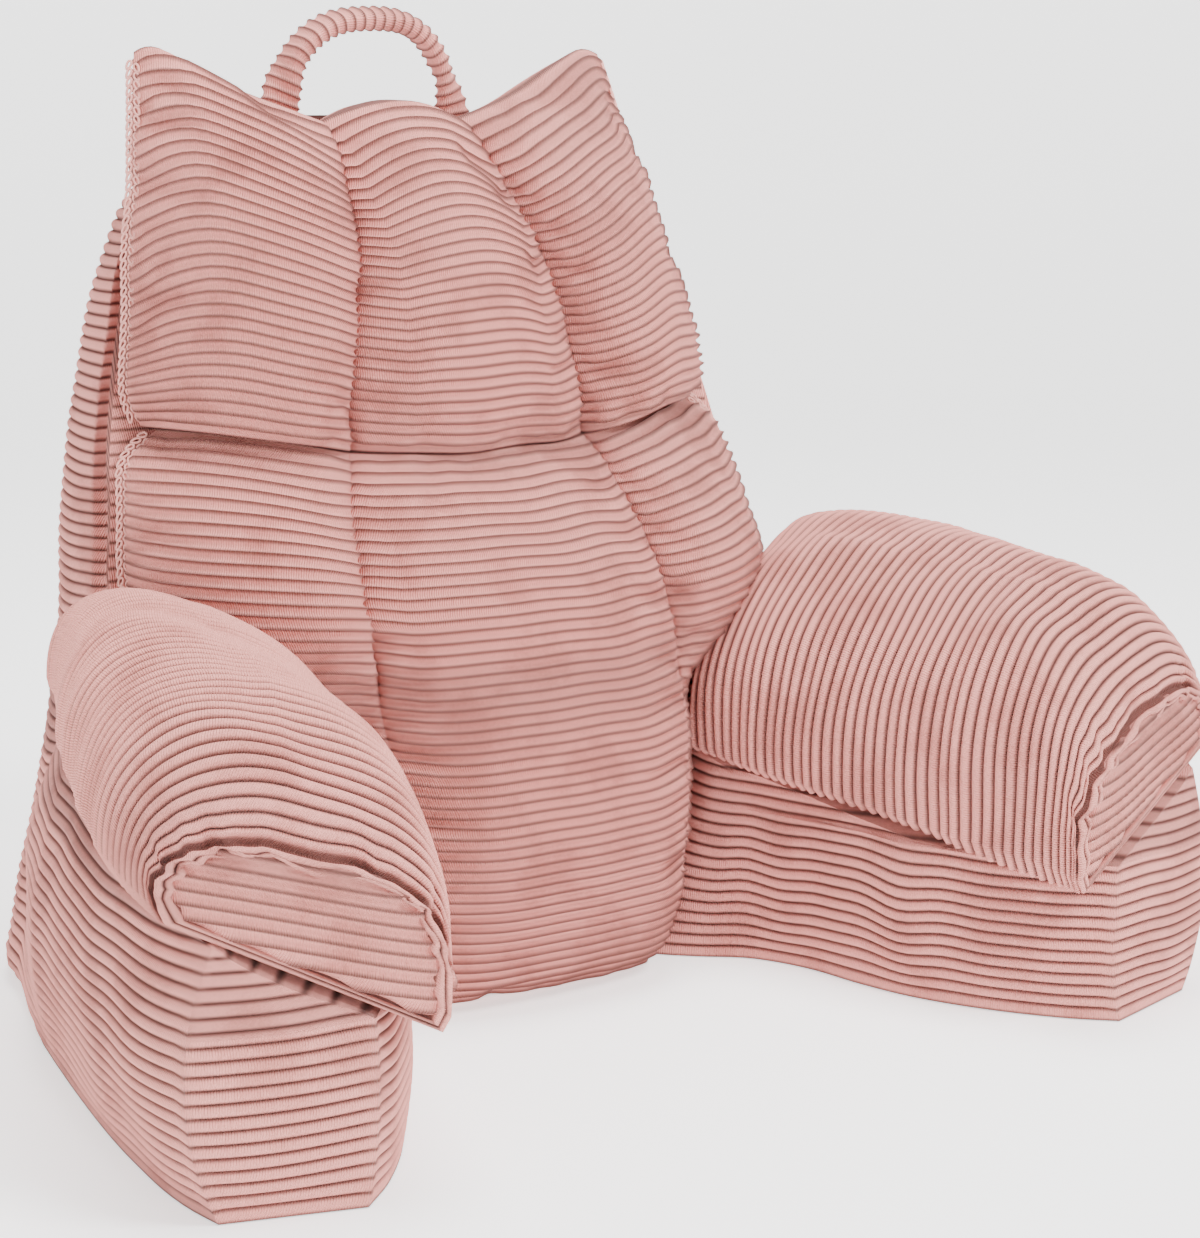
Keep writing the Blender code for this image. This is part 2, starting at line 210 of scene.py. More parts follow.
@dataclass
class Cut:
    """One cut panel of corduroy.

    surface, pin and calm are read at wale counts and column shares. surface gives the smooth base, pin is 1
    where the panel is sewn down and 0 where it is free to swell, and calm weakens the ribs. side is the sign
    that turns the grid's own normal, rows crossed with columns, outwards. slant(points) replaces the wale
    count where the wales don't follow the rows.
    """

    surface: Surface
    wales: int
    columns: Array
    side: float = 1.0
    weave: Weave = FINE
    pin: Surface | None = None
    calm: Surface | None = None
    sewn_rows: tuple[bool, bool] = (True, True)
    sewn_columns: tuple[bool, bool] = (True, True)
    grooved: bool = True
    slant: Callable[[Array], Array] | None = None
    first: float = 0.0
    hem: float = 0.006
    coarse_rows: Array = field(default_factory=lambda: np.zeros(0))
    coarse_columns: Array = field(default_factory=lambda: np.zeros(0))
    offsets: Array = field(default_factory=lambda: np.zeros(0))

    def prepare(self, row_step: float, column_step: int) -> Array:
        """Choose the coarse grid for the simulation and return its base points."""
        count = max(3, int(round(self.wales / row_step)) + 1)
        self.coarse_rows = self.first + np.linspace(0.0, self.wales, count)
        keep = np.unique(np.append(np.arange(0, len(self.columns), column_step), len(self.columns) - 1))
        self.coarse_columns = self.columns[keep]
        return self.surface(self.coarse_rows, self.coarse_columns)

    def pins(self) -> Array:
        """Pin weights on the coarse grid; a panel without a pin rule is sewn down all over."""
        shape = (len(self.coarse_rows), len(self.coarse_columns))
        if self.pin is None:
            return np.ones(shape)
        return np.broadcast_to(self.pin(self.coarse_rows, self.coarse_columns), shape)

    def finished(self) -> tuple[Array, Array, Array]:
        """The dense grid: settled, grooved, with metres along the wale and the wale count as texture places.

        Returns:
            Points, rows x columns x 3, and the two texture coordinates, rows x columns.
        """
        rows = self.first + self.weave.rows(self.wales)
        base = self.surface(rows, self.columns)
        if self.offsets.size:
            base = base + resample(self.offsets, self.coarse_rows, self.coarse_columns, rows, self.columns)
        base = wobble(base)
        steps = np.linalg.norm(np.diff(base, axis=1), axis=-1)
        along = np.concatenate([np.zeros((len(rows), 1)), np.cumsum(steps, axis=1)], axis=1)
        wale = np.broadcast_to(rows[:, None], along.shape) if self.slant is None else self.slant(base)
        if not self.grooved:
            return base, along, wale
        normal = np.cross(np.gradient(base, axis=0), np.gradient(base, axis=1))
        normal *= self.side / np.maximum(np.linalg.norm(normal, axis=-1, keepdims=True), 1e-12)
        fade = np.ones_like(along)
        counted = (rows - rows[0])[:, None]
        for sewn, width, away, end in ((self.sewn_rows, SEAM_WALES, counted, counted[-1]),
                                       (self.sewn_columns, self.hem, along, along[:, -1:])):
            if sewn[0]:
                fade = fade * smoothstep(0.0, width, away)
            if sewn[1]:
                fade = fade * smoothstep(0.0, width, end - away)
        if self.calm is not None:
            fade = fade * self.calm(rows, self.columns)
        return base - normal * (self.weave.groove(wale) * fade)[..., None], along, wale


def grid_faces(rows: int, columns: int, start: int) -> Array:
    """Corner indices of a grid's quads, the first vertex being start."""
    index = start + np.arange(rows * columns).reshape(rows, columns)
    return np.stack([index[:-1, :-1], index[:-1, 1:], index[1:, 1:], index[1:, :-1]], axis=-1).reshape(-1, 4)


def linked(name: str, data: bpy.types.ID) -> bpy.types.Object:
    """Make an object of a mesh, lamp or camera, in the scene and at the origin."""
    made = bpy.data.objects.new(name, data)
    bpy.context.scene.collection.objects.link(made)
    return made


def turn_outwards(mesh: bpy.types.Mesh) -> None:
    """Turn every face of a closed mesh outwards."""
    shape = bmesh.new()
    shape.from_mesh(mesh)
    bmesh.ops.recalc_face_normals(shape, faces=shape.faces)
    shape.to_mesh(mesh)
    shape.free()


def settle(cuts: list[Cut], pressure: float, slack: float, cap: float,
           row_step: float = 1.5, column_step: int = 2, weld: float = 2e-4) -> None:
    """Let a filled piece swell in a cloth simulation, and keep how far each coarse point moved.

    The coarse panels are welded into one closed mesh, pinned along their seams and filled with air.

    Args:
        cuts: The piece's panels; each gets its offsets.
        pressure: How hard the filling pushes.
        slack: Share by which the cloth is larger than the base surface.
        cap: The furthest that a point may move, in metres.
        row_step: Wales between the simulation's rows.
        column_step: Columns between the simulation's columns.
        weld: Size of the cells whose points become one, in metres.
    """
    grids = [cut.prepare(row_step, column_step) for cut in cuts]
    points = np.concatenate([grid.reshape(-1, 3) for grid in grids])
    pins = np.concatenate([cut.pins().ravel() for cut in cuts])
    starts = np.cumsum([0] + [grid.shape[0] * grid.shape[1] for grid in grids])
    faces = np.concatenate([grid_faces(*grid.shape[:2], start) for grid, start in zip(grids, starts)])
    cells = np.round(points / weld).astype(int)
    _, first, inverse = np.unique(cells, axis=0, return_index=True, return_inverse=True)
    inverse = inverse.ravel()
    welded_pins = np.zeros(len(first))
    np.maximum.at(welded_pins, inverse, pins)
    polygons = [list(dict.fromkeys(face)) for face in inverse[faces].tolist()]
    mesh = bpy.data.meshes.new("settling")
    mesh.from_pydata(points[first].tolist(), [], [polygon for polygon in polygons if len(polygon) > 2])
    mesh.validate()
    cloth_object = linked("settling", mesh)
    group = cloth_object.vertex_groups.new(name="sewn")
    for weight in np.unique(np.round(welded_pins, 1)):
        chosen = np.flatnonzero(np.round(welded_pins, 1) == weight)
        group.add(chosen.tolist(), float(weight), "REPLACE")
    turn_outwards(mesh)
    cloth = cloth_object.modifiers.new("Cloth", "CLOTH")
    setup = cloth.settings
    setup.quality = 6
    setup.mass = 0.25
    setup.tension_stiffness = setup.compression_stiffness = 18.0
    setup.shear_stiffness = 6.0
    setup.bending_stiffness = 0.6
    setup.vertex_group_mass = "sewn"
    setup.use_pressure = True
    setup.uniform_pressure_force = pressure
    setup.shrink_min = -slack
    setup.effector_weights.gravity = 0.0
    cloth.point_cache.frame_start, cloth.point_cache.frame_end = 1, FRAMES
    for number in range(1, FRAMES + 1):
        bpy.context.scene.frame_set(number)
    moved = np.zeros(len(first) * 3)
    evaluated = cloth_object.evaluated_get(bpy.context.evaluated_depsgraph_get())
    evaluated.data.vertices.foreach_get("co", moved)
    moved = moved.reshape(-1, 3) - points[first]
    length = np.linalg.norm(moved, axis=1, keepdims=True)
    moved = moved * cap * np.tanh(length / cap) / np.maximum(length, 1e-9) * (1.0 - welded_pins[:, None])
    bpy.data.objects.remove(cloth_object)
    bpy.context.scene.frame_set(1)
    spread = moved[inverse]
    for cut, grid, start in zip(cuts, grids, starts):
        cut.offsets = spread[start:start + grid.shape[0] * grid.shape[1]].reshape(grid.shape)


def sew(name: str, cuts: list[Cut], bridges: list[tuple[int, bool]] = ()) -> bpy.types.Object:
    """Make one closed mesh of a piece's panels.

    Borders that share their points are welded, and each hole that is left gets a flat face.

    Args:
        name: The object's name.
        cuts: The panels.
        bridges: Panels whose first and last columns are joined straight across, by index, and whether the
            joining faces are turned round.

    Returns:
        The finished object, at the origin.
    """
    places, textures, faces = [], [], []
    start = 0
    for number, cut in enumerate(cuts):
        points, along, wale = cut.finished()
        rows, columns = along.shape
        quads = grid_faces(rows, columns, start)
        faces.append(quads if cut.side > 0 else quads[:, ::-1])
        for joined, turned in bridges:
            if joined == number:
                ends = start + np.arange(rows) * columns
                others = ends + columns - 1
                strip = np.stack([ends[:-1], ends[1:], others[1:], others[:-1]], axis=-1)
                faces.append(strip[:, ::-1] if turned else strip)
        places.append(points.reshape(-1, 3))
        textures.append(np.stack([along.ravel(), wale.ravel()], axis=-1))
        start += rows * columns
    places, textures, faces = np.concatenate(places), np.concatenate(textures), np.concatenate(faces)
    places[:, 2] = np.maximum(places[:, 2], 0.0)
    mesh = bpy.data.meshes.new(name)
    mesh.vertices.add(len(places))
    mesh.vertices.foreach_set("co", places.astype(np.float32).ravel())
    mesh.loops.add(faces.size)
    mesh.loops.foreach_set("vertex_index", faces.astype(np.int32).ravel())
    mesh.polygons.add(len(faces))
    mesh.polygons.foreach_set("loop_start", np.arange(0, faces.size, 4, dtype=np.int32))
    mesh.update()
    layer = mesh.uv_layers.new(name="wale_uv")
    layer.data.foreach_set("uv", textures[faces.ravel()].astype(np.float32).ravel())
    shape = bmesh.new()
    shape.from_mesh(mesh)
    bmesh.ops.remove_doubles(shape, verts=shape.verts, dist=WELD)
    bmesh.ops.dissolve_degenerate(shape, dist=WELD / 20.0, edges=shape.edges)
    open_edges = [edge for edge in shape.edges if edge.is_boundary]
    filled = bmesh.ops.holes_fill(shape, edges=open_edges, sides=0)["faces"]
    bmesh.ops.triangulate(shape, faces=filled)
    bmesh.ops.recalc_face_normals(shape, faces=shape.faces)
    shape.to_mesh(mesh)
    shape.free()
    mesh.shade_smooth()
    mesh.set_sharp_from_angle(angle=SHARP_ANGLE)
    return linked(name, mesh)


# ---------------------------------------------------------------------------------------------------------
# The pillow's shared outlines
# ---------------------------------------------------------------------------------------------------------

@dataclass(frozen=True)
class Barrel:
    """An outline that is widest at one height and draws in as a parabola above and below it."""

    half_width: float
    widest_at: float
    above: float
    below: float

    def at(self, z: Array) -> Array:
        """Half-width at height z."""
        away = z - self.widest_at
        return self.half_width - np.where(away > 0.0, self.above, self.below) * away ** 2


@dataclass(frozen=True)
class Body:
    """Outlines that neighbouring pieces share. Their Y counts from the hip line, just behind foot_y.

    foot_y and lean set the front plane. The centre channel's seam is a barrel up to the crease, and from
    drawn_from upwards it is drawn in from drawn_width by drawn_by. notch and ear are the half-width and
    height of the head cushion's dips and tips. seat is the height, the slope outwards and the slope
    backwards of the plane between arm and pad.
    """

    hip_y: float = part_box("backrest")[1].y - 0.187
    height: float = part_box("backrest")[1].z
    foot_y: float = -0.042
    lean: float = 0.287
    crease_height: float = 0.338
    crease_rise: float = 0.5
    crease_hump: float = 0.006
    channel_barrel: Barrel = Barrel(0.112, 0.235, 2.1, 0.62)
    waist_barrel: Barrel = Barrel(0.144, 0.17, 1.69, 1.9)
    drawn_from: float = 0.36
    drawn_width: float = 0.087
    drawn_by: float = 0.038
    seam_on_crease: float = 0.088
    notch: tuple[float, float] = (0.049, 0.544)
    ear: tuple[float, float] = (0.166, 0.596)
    seat: tuple[float, float, float] = (0.0918, 0.425, 0.280)
    gap: float = 0.0003

    def front_plane(self, z: Array) -> Array:
        """Y of the leaning front plane at height z."""
        return self.foot_y + self.lean * z

    def crease(self, x: Array) -> Array:
        """Height of the seam between the two cushions: a parabola with a low hump at each side."""
        across_channel = np.clip((np.abs(x) - self.drawn_width) / 0.133, 0.0, 1.0)
        return (self.crease_height + self.crease_rise * x * x
                + self.crease_hump * np.sin(np.pi * across_channel))

    def channel_seam(self, z: Array) -> Array:
        """Half-width of the centre channel: a barrel below the crease, drawn in to the notch above it."""
        share = np.clip((z - self.drawn_from) / (self.notch[1] - self.drawn_from), 0.0, 1.0)
        drawn_in = self.drawn_width - self.drawn_by * share ** 1.3
        return np.where(z < self.crease(self.seam_on_crease), self.channel_barrel.at(z), drawn_in)

    def waist(self, z: Array) -> Array:
        """Half-width of the lumbar cushion between the arms: a wider barrel than the centre channel."""
        return self.waist_barrel.at(z)

    def seat_height(self, x: Array, y: Array) -> Array:
        """Height of the sloping plane between arm and pad."""
        return self.seat[0] + self.seat[1] * np.abs(x) + self.seat[2] * y

    def back_half_widths(self, z: Array) -> tuple[Array, Array]:
        """Half-width of the backrest at its front plane and at its rear corner."""
        drawn = 0.063 * (np.clip(z - 0.23, 0.0, None) / 0.27) ** 1.7
        front = 0.238 - drawn + 0.084 * (1.0 - smoothstep(0.10, 0.25, z))
        rear = 0.240 - drawn + 0.052 * np.clip(1.0 - z / 0.23, 0.0, 1.0) ** 1.2
        shoulder = np.clip(1.0 - (np.clip(z - 0.478, 0.0, None) / 0.066) ** 2.6, 0.0, 1.0) ** 0.40
        return front * shoulder, rear * shoulder

    def placed(self, x: Array, y: Array, z: Array) -> Array:
        """Points of the row frame from hip-line coordinates."""
        x, y, z = np.broadcast_arrays(x, y, z)
        return np.stack([x, y + self.hip_y, z], axis=-1)


BODY = Body()


# ---------------------------------------------------------------------------------------------------------
# The two cushions
# ---------------------------------------------------------------------------------------------------------

FIRST_GUESS, ROUNDS = 0.2, 5  # where a cushion's outline starts from, and how often it is put right


def channel_columns(side_count: int, centre_count: int) -> Array:
    """Shares across a cushion, -1 to 1 with seams at -0.5 and 0.5, closer together near each seam."""
    side, centre = (0.5 - 0.5 * np.cos(np.linspace(0.0, np.pi, count))
                    for count in (side_count, centre_count))
    left = -1.0 + 0.5 * side
    return np.concatenate([left, (-0.5 + centre)[1:], -left[::-1][1:]])


@dataclass
class ChannelCushion:
    """A stuffed cushion of three upright channels on the leaning front plane.

    crown and side_crown are the heights of the channels over their seams, and channel_depth is the seams'
    own. foot and foot_softness shape the lower edge, and the top_ values the upper one. sag is how far the
    wales hang beside the seams. columns are the columns of an outer channel and of the centre one.
    """

    name: str
    node: str
    wales: int
    crown: float
    side_crown: float
    foot: float
    sag: float
    channel_depth: float
    top_share: float
    top_spread: float
    top_power: float
    foot_softness: float
    top_softness: float
    columns: tuple[int, int]
    edge_thickness: float = 0.012

    def bottom(self, x: Array) -> Array:
        """Height of the lower edge."""
        raise NotImplementedError

    def top(self, x: Array) -> Array:
        """Height of the upper edge."""
        raise NotImplementedError

    def edge(self, z: Array) -> Array:
        """Half-width of the cushion."""
        raise NotImplementedError

    def side_share(self, z: Array) -> Array:
        """How much of its crown an outer channel keeps."""
        return np.ones_like(z)

    def outline(self, rows: Array, across: Array) -> tuple[Array, Array, Array]:
        """X, Z and the level, 0 to 1, of each grid point, found by a few rounds between X and Z."""
        level = np.clip(rows / self.wales, 0.0, 1.0)[:, None]
        across = across[None, :]
        inside = np.abs(across) <= 0.5
        x = across * FIRST_GUESS + np.zeros_like(level)
        to_seam = np.where(inside, (2.0 * across) ** 2, np.clip(2.0 - 2.0 * np.abs(across), 0.0, 1.0) ** 2)
        sag = self.sag * to_seam * level ** 2 * np.clip((1.0 - level) * 5.0, 0.0, 1.0)
        for _ in range(ROUNDS):
            z = self.bottom(x) + (self.top(x) - self.bottom(x)) * level - sag
            outer, seam = self.edge(z), BODY.channel_seam(z)
            x = np.where(inside, across * 2.0 * seam,
                         np.sign(across) * (seam + (outer - seam) * (np.abs(across) - 0.5) * 2.0))
        return x, z, level

    def front(self, rows: Array, across: Array) -> Array:
        """The cushion's face.

        Height off the front plane: a base that rises from the outer edge to the channel seam, plus a crown
        over each channel, (1 - place^2.3)^0.68, both faded towards the lower and upper edges, and small
        puckers that die out within a few wales of the seams and edges.
        """
        x, z, level = self.outline(rows, across)
        share = np.broadcast_to(across[None, :], x.shape)
        inside = np.abs(share) <= 0.5
        outer, seam = self.edge(z), BODY.channel_seam(z)
        place = np.where(inside, share * 2.0, (np.abs(share) - 0.75) * 4.0)
        over = np.clip(1.0 - np.abs(place) ** 2.3, 0.0, 1.0) ** 0.68
        width = np.where(inside, 1.0, np.clip((outer - seam) / 0.07, 0.0, 1.0))
        base = np.where(inside, 1.0, np.clip((1.0 - np.abs(share)) * 2.0, 0.0, 1.0) ** 0.8)
        fade = self.fade(level, share)
        gain = np.where(inside, self.crown, self.side_crown * width * self.side_share(z))
        lift = self.edge_thickness + fade * ((self.channel_depth - self.edge_thickness) * base + over * gain)
        lift = lift + self.puckers(x, z, level, place, fade)
        return BODY.placed(x, BODY.front_plane(z) - lift, z)

    def fade(self, level: Array, share: Array) -> Array:
        """How much of its thickness the cushion keeps towards its lower and upper edges."""
        lower = np.clip(1.0 - np.clip(1.0 - 2.0 * level, 0.0, 1.0) ** 3.0, 0.0, 1.0) ** self.foot_softness
        upper = np.clip(1.0 - np.clip(2.0 * level - 1.0, 0.0, 1.0) ** self.top_power, 0.0, 1.0)
        upper = upper ** self.top_softness
        lower = lower + (1.0 - lower) * self.foot
        middle = np.clip(1.0 - np.abs(share / self.top_spread) ** 4, 0.0, 1.0)
        upper = upper + (1.0 - upper) * self.top_share * middle
        return lower * upper

    def puckers(self, x: Array, z: Array, level: Array, place: Array, fade: Array) -> Array:
        """Soft gathers: waves along each seam and edge, deepest a little way off it and gone on it."""
        by_seam = np.exp(-((1.0 - np.abs(place)) / 0.28) ** 2) * (1.0 - np.abs(place) ** 12)
        beside = 0.0022 * by_seam * ripple(z, 0.034, 1.3 + 2.0 * np.sign(x))
        reach = (1.0 - level) * (self.wales * FINE.pitch)
        low = level * (self.wales * FINE.pitch)
        by_edge = np.exp(-(low / 0.022) ** 2) * smoothstep(0.0, 0.008, low)
        by_edge = by_edge + np.exp(-(reach / 0.022) ** 2) * smoothstep(0.0, 0.008, reach)
        return (beside + 0.0030 * by_edge * ripple(x, 0.031, 0.7)) * np.clip(fade, 0.0, 1.0)

    def pin(self, rows: Array, across: Array) -> Array:
        """Sewn down at the outline and along both channel seams."""
        level = (rows / self.wales)[:, None]
        share = np.abs(across)[None, :]
        seam = (np.abs(share - 0.5) < 1e-6) | (share > 0.999) | (level < 1e-6) | (level > 1.0 - 1e-6)
        return seam.astype(float)

    def cuts(self) -> list[Cut]:
        """Face and rear panel, which share their outline."""
        columns = channel_columns(*self.columns)
        return [Cut(self.front, self.wales, columns, pin=self.pin, calm=self.calm),
                Cut(self.back, self.wales, columns, side=-1.0, weave=COARSE)]

    def calm(self, rows: Array, across: Array) -> Array:
        """The ribs are pressed flatter beside the channel seams."""
        away = np.abs(np.abs(across) - 0.5)
        pressed = 1.0 - 0.75 * np.exp(-(away / 0.012) ** 2)
        return np.broadcast_to(pressed[None, :], (len(rows), len(across)))

    def back(self, rows: Array, across: Array) -> Array:
        """The rear face: flat on the backrest, and softly filled where the ears stand clear of it."""
        x, z, level = self.outline(rows, across)
        share = np.broadcast_to(across[None, :], x.shape)
        rim = np.clip(1.0 - np.abs(share) ** 8, 0.0, 1.0) * hump(level, 10)
        clear = np.maximum(z - BODY.height, np.abs(x) - BODY.back_half_widths(z)[0])
        swell = 0.014 * smoothstep(0.0, 0.03, clear) * np.sqrt(rim)
        start = self.edge_thickness * (1.0 - smoothstep(0.0, 0.25, rim))
        return BODY.placed(x, BODY.front_plane(z) - BODY.gap * (rim > 0.0) - start + swell, z)


class HeadCushion(ChannelCushion):
    """The upper cushion, its outer channels drawn up into ears."""

    def bottom(self, x: Array) -> Array:
        """The crease."""
        return BODY.crease(x) + BODY.gap

    def top(self, x: Array) -> Array:
        """A low arch in the middle and an ear at each side."""
        side = np.abs(x)
        climb = np.clip((side - BODY.notch[0]) / (BODY.ear[0] - BODY.notch[0]), 0.0, 1.2) ** 1.25
        arch = 0.014 * np.clip(1.0 - (side / BODY.notch[0]) ** 2, 0.0, None)
        drop = 28.0 * np.clip(side - 0.152, 0.0, None) ** 2
        return BODY.notch[1] + arch + (BODY.ear[1] - BODY.notch[1]) * climb - drop

    def edge(self, z: Array) -> Array:
        """Nearly straight, with the lower corner rounded."""
        corner = 0.388
        return 0.211 - 0.19 * (z - corner) - 16.0 * np.clip(corner - z, 0.0, None) ** 2


class LumbarCushion(ChannelCushion):
    """The lower cushion, whose middle channel runs down to the floor between the arms."""

    def bottom(self, x: Array) -> Array:
        """The floor."""
        return np.zeros_like(x)

    def top(self, x: Array) -> Array:
        """The crease."""
        return BODY.crease(x) - BODY.gap

    def edge(self, z: Array) -> Array:
        """Full beside the waist, and the bare centre channel near the floor."""
        full = 0.230 - 1.5 * (z - 0.262) ** 2 - 24.0 * np.clip(z - 0.33, 0.0, None) ** 2
        return BODY.waist(z) + (full - BODY.waist(z)) * smoothstep(0.15, 0.24, z)

    def side_share(self, z: Array) -> Array:
        """The outer channels are thin behind the arm pads."""
        return smoothstep(0.16, 0.27, z)


# ---------------------------------------------------------------------------------------------------------
# The cover: backrest and arms
# ---------------------------------------------------------------------------------------------------------

ARM_INNER = np.array([(0.093, -0.0445), (0.094, -0.066), (0.116, -0.090), (0.143, -0.113), (0.161, -0.150),
                      (0.170, -0.195), (0.182, -0.235), (0.205, -0.278), (0.233, -0.315), (0.257, -0.338)])
ARM_OUTER = np.array([(0.322, -0.0445), (0.325, -0.062), (0.329, -0.085), (0.333, -0.110), (0.339, -0.150),
                      (0.344, -0.190), (0.347, -0.225), (0.349, -0.260), (0.348, -0.290), (0.344, -0.316)])


@dataclass
class Cover:
    """One cover over backrest and arms, whose rows lie at constant height all the way round."""

    name: str = "cover"
    wales: int = 84
    side_bulge: float = 0.014
    end_bulge: float = 0.006
    rear_y: float = 0.185
    foot_rounding: float = 0.012
    foot_height: float = 0.018
    strip_width: float = 0.038
    strip_rise: float = 0.30
    top_wales: int = 8

    def __post_init__(self) -> None:
        """Work out the wale count at each height, and the places where the arms' walls meet the seat."""
        z = np.linspace(0.0, BODY.height, 400)
        rear = BODY.back_half_widths(z)[1]
        run = np.cumsum(np.append(0.0, np.hypot(np.diff(z), 0.6 * np.diff(rear))))
        self.wall_wales = self.wales - self.top_wales
        self.count_at, self.height_at = run / run[-1] * self.wall_wales, z
        self.forward = np.linspace(0.0, 1.0, len(ARM_OUTER))
        self.inset = 0.006 + 0.024 * (1.0 - smoothstep(0.0, 0.8, self.forward))
        self.outer_seat = BODY.seat_height(ARM_OUTER[:, 0] - self.inset, ARM_OUTER[:, 1]) - BODY.gap
        self.inner_seat = np.full(len(ARM_INNER), 0.12)
        hug = 1.0 - smoothstep(0.0, 0.45, self.forward)
        for _ in range(6):
            wall = ARM_INNER[:, 0] + hug * (BODY.waist(self.inner_seat) - BODY.waist(np.zeros(1)))
            self.inner_seat = np.minimum.accumulate(BODY.seat_height(wall, ARM_INNER[:, 1]) - BODY.gap)
        self.arm_nodes, self.inner_nodes = distances(ARM_OUTER[::-1]), distances(ARM_INNER)

    def heights(self, rows: Array) -> Array:
        """Height of each row; rows past the wall's top keep the backrest's height."""
        return np.interp(rows, self.count_at, self.height_at)

    def closing(self, rows: Array) -> Array:
        """0 on the walls, rising to 1 where the top panel's last rows meet in the middle."""
        return np.clip((rows - self.wall_wales) / self.top_wales, 0.0, 1.0)

    def rows_below(self, height: float) -> int:
        """The number of wales that reaches just above a height."""
        return int(np.ceil(np.interp(height, self.height_at, self.count_at)))

    def inner_wall(self, z: Array) -> Array:
        """Control points of an arm's inner wall from its root to its front, for each height.

        It hugs the lumbar cushion's waist near the root, swells a little half way up and is tucked in at
        the floor.
        """
        z = z[:, None]
        hug = (1.0 - smoothstep(0.0, 0.45, self.forward))[None, :]
        share = np.clip(z / self.inner_seat[None, :], 0.0, 1.0)
        swell = 0.005 * np.sin(np.pi * share) * smoothstep(0.1, 0.5, self.forward)
        swell = swell * (1.0 - 0.7 * self.forward)
        tuck = 0.006 * (1.0 - share) ** 4 * self.forward
        x = ARM_INNER[None, :, 0] + hug * (BODY.waist(z) - BODY.waist(np.zeros(1))) - swell + tuck
        y = ARM_INNER[None, :, 1] + 0.0 * z
        y[:, 0] = BODY.front_plane(z[:, 0])
        return np.stack([x, y], axis=-1)

    def outer_wall(self, z: Array) -> Array:
        """Control points of the outside from the arm's front to the middle of the rear, for each height.

        The arm's wall swells outwards and leans in towards its seat. Behind it come the backrest's side, its
        rounded rear corner, a quarter of a superellipse, and the flat rear.
        """
        z = z[:, None]
        share = np.clip(z / self.outer_seat[None, :], 0.0, 1.0)
        swell = self.side_bulge * np.sin(np.pi * share) - 0.006 * (1.0 - share) ** 4
        x = ARM_OUTER[None, :, 0] - self.inset * share ** 1.5 + swell
        y = ARM_OUTER[None, :, 1] + 0.0 * z
        front_w, rear_w = BODY.back_half_widths(z)
        rise = smoothstep(self.outer_seat[0], self.outer_seat[0] + self.foot_height, z[:, 0])
        x[:, 0] += (front_w[:, 0] - x[:, 0]) * rise
        y[:, 0] += (BODY.front_plane(z[:, 0]) - y[:, 0]) * rise
        foot = self.foot_rounding * np.clip(1.0 - z / self.foot_height, 0.0, None) ** 2
        rear_y = self.rear_y - foot - 0.045 * np.clip((z - 0.44) / 0.098, 0.0, None) ** 2
        rear_w = rear_w - foot
        front_y = BODY.front_plane(z)
        reach = (0.46 + 0.16 * smoothstep(0.05, 0.25, z)) * (rear_y - front_y)
        corner = rear_w * 0.30
        turn = np.linspace(0.0, np.pi / 2.0, 7)[None, :]
        side_x, side_y = front_w * 0.6 + rear_w * 0.4, front_y + 0.22 * (rear_y - front_y)
        corner_x = rear_w - corner + corner * np.cos(turn)
        corner_y = rear_y - reach + reach * np.sin(turn)
        rear_x = np.concatenate([(rear_w - corner) * 0.66, (rear_w - corner) * 0.33, 0.0 * rear_w], axis=1)
        rear = np.repeat(rear_y + 0.002, 3, axis=1)
        x = np.concatenate([x[:, ::-1], side_x, corner_x, rear_x], axis=1)
        y = np.concatenate([y[:, ::-1], side_y, corner_y, rear], axis=1)
        return np.stack([x, y], axis=-1)

    def outer_nodes(self) -> Array:
        """Curve parameters of the outer wall's control points: their distances along one low row."""
        return distances(self.outer_wall(np.array([0.11]))[0])

    def outer_start(self, z: Array) -> Array:
        """Where a row leaves the arm's front corner, or the seat line above it."""
        return np.interp(z, self.outer_seat[::-1], self.arm_nodes)

    def round_top(self, plan: Array, rows: Array) -> Array:
        """Give rows their height, and draw the top panel's rows together towards the middle of the top."""
        z = self.heights(rows)[:, None]
        closing = self.closing(rows)[:, None]
        middle = (BODY.front_plane(BODY.height) + 0.142) / 2.0
        y = plan[..., 1] + (middle - plan[..., 1]) * closing
        x = plan[..., 0] * (1.0 - 0.12 * closing)
        return BODY.placed(x, y, z + 0.006 * np.sin(closing * np.pi / 2.0))

    def outside(self, rows: Array, columns: Array) -> Array:
        """The outer wall all round, from one arm's front corner over the rear to the other's.

        Beside the cushions a boxing strip meets the side panel in a herringbone seam: within the strip the
        rows climb towards the front.
        """
        z = self.heights(rows)
        control, nodes = self.outer_wall(z), self.outer_nodes()
        start = self.outer_start(z)[:, None]
        half = columns[columns <= 0.5] * 2.0
        wanted = start + (nodes[-1] - start) * half[None, :]
        points = self.round_top(curve_at(control, nodes, wanted), rows)
        into = wanted - start
        shown = smoothstep(0.22, 0.26, z) * (1.0 - self.closing(rows)) * (1.0 - smoothstep(0.47, 0.50, z))
        shown = shown[:, None]
        climb = self.strip_rise * np.clip(self.strip_width - into, 0.0, None) * shown
        points[..., 2] += climb
        points[..., 1] += climb * BODY.lean * np.clip(1.0 - into / self.strip_width, 0.0, 1.0)
        dent = 0.0018 * np.exp(-((into - self.strip_width) / 0.003) ** 2) * shown
        points[..., 0] -= dent
        return np.concatenate([points, points[:, ::-1][:, 1:] * MIRROR], axis=1)

    def front_corner(self, z: Array) -> Array:
        """Plan of the arm's outer front corner, or of the seat line's point on the outer wall."""
        control = self.outer_wall(z)
        return curve_at(control, self.outer_nodes(), self.outer_start(z)[:, None])[:, 0]

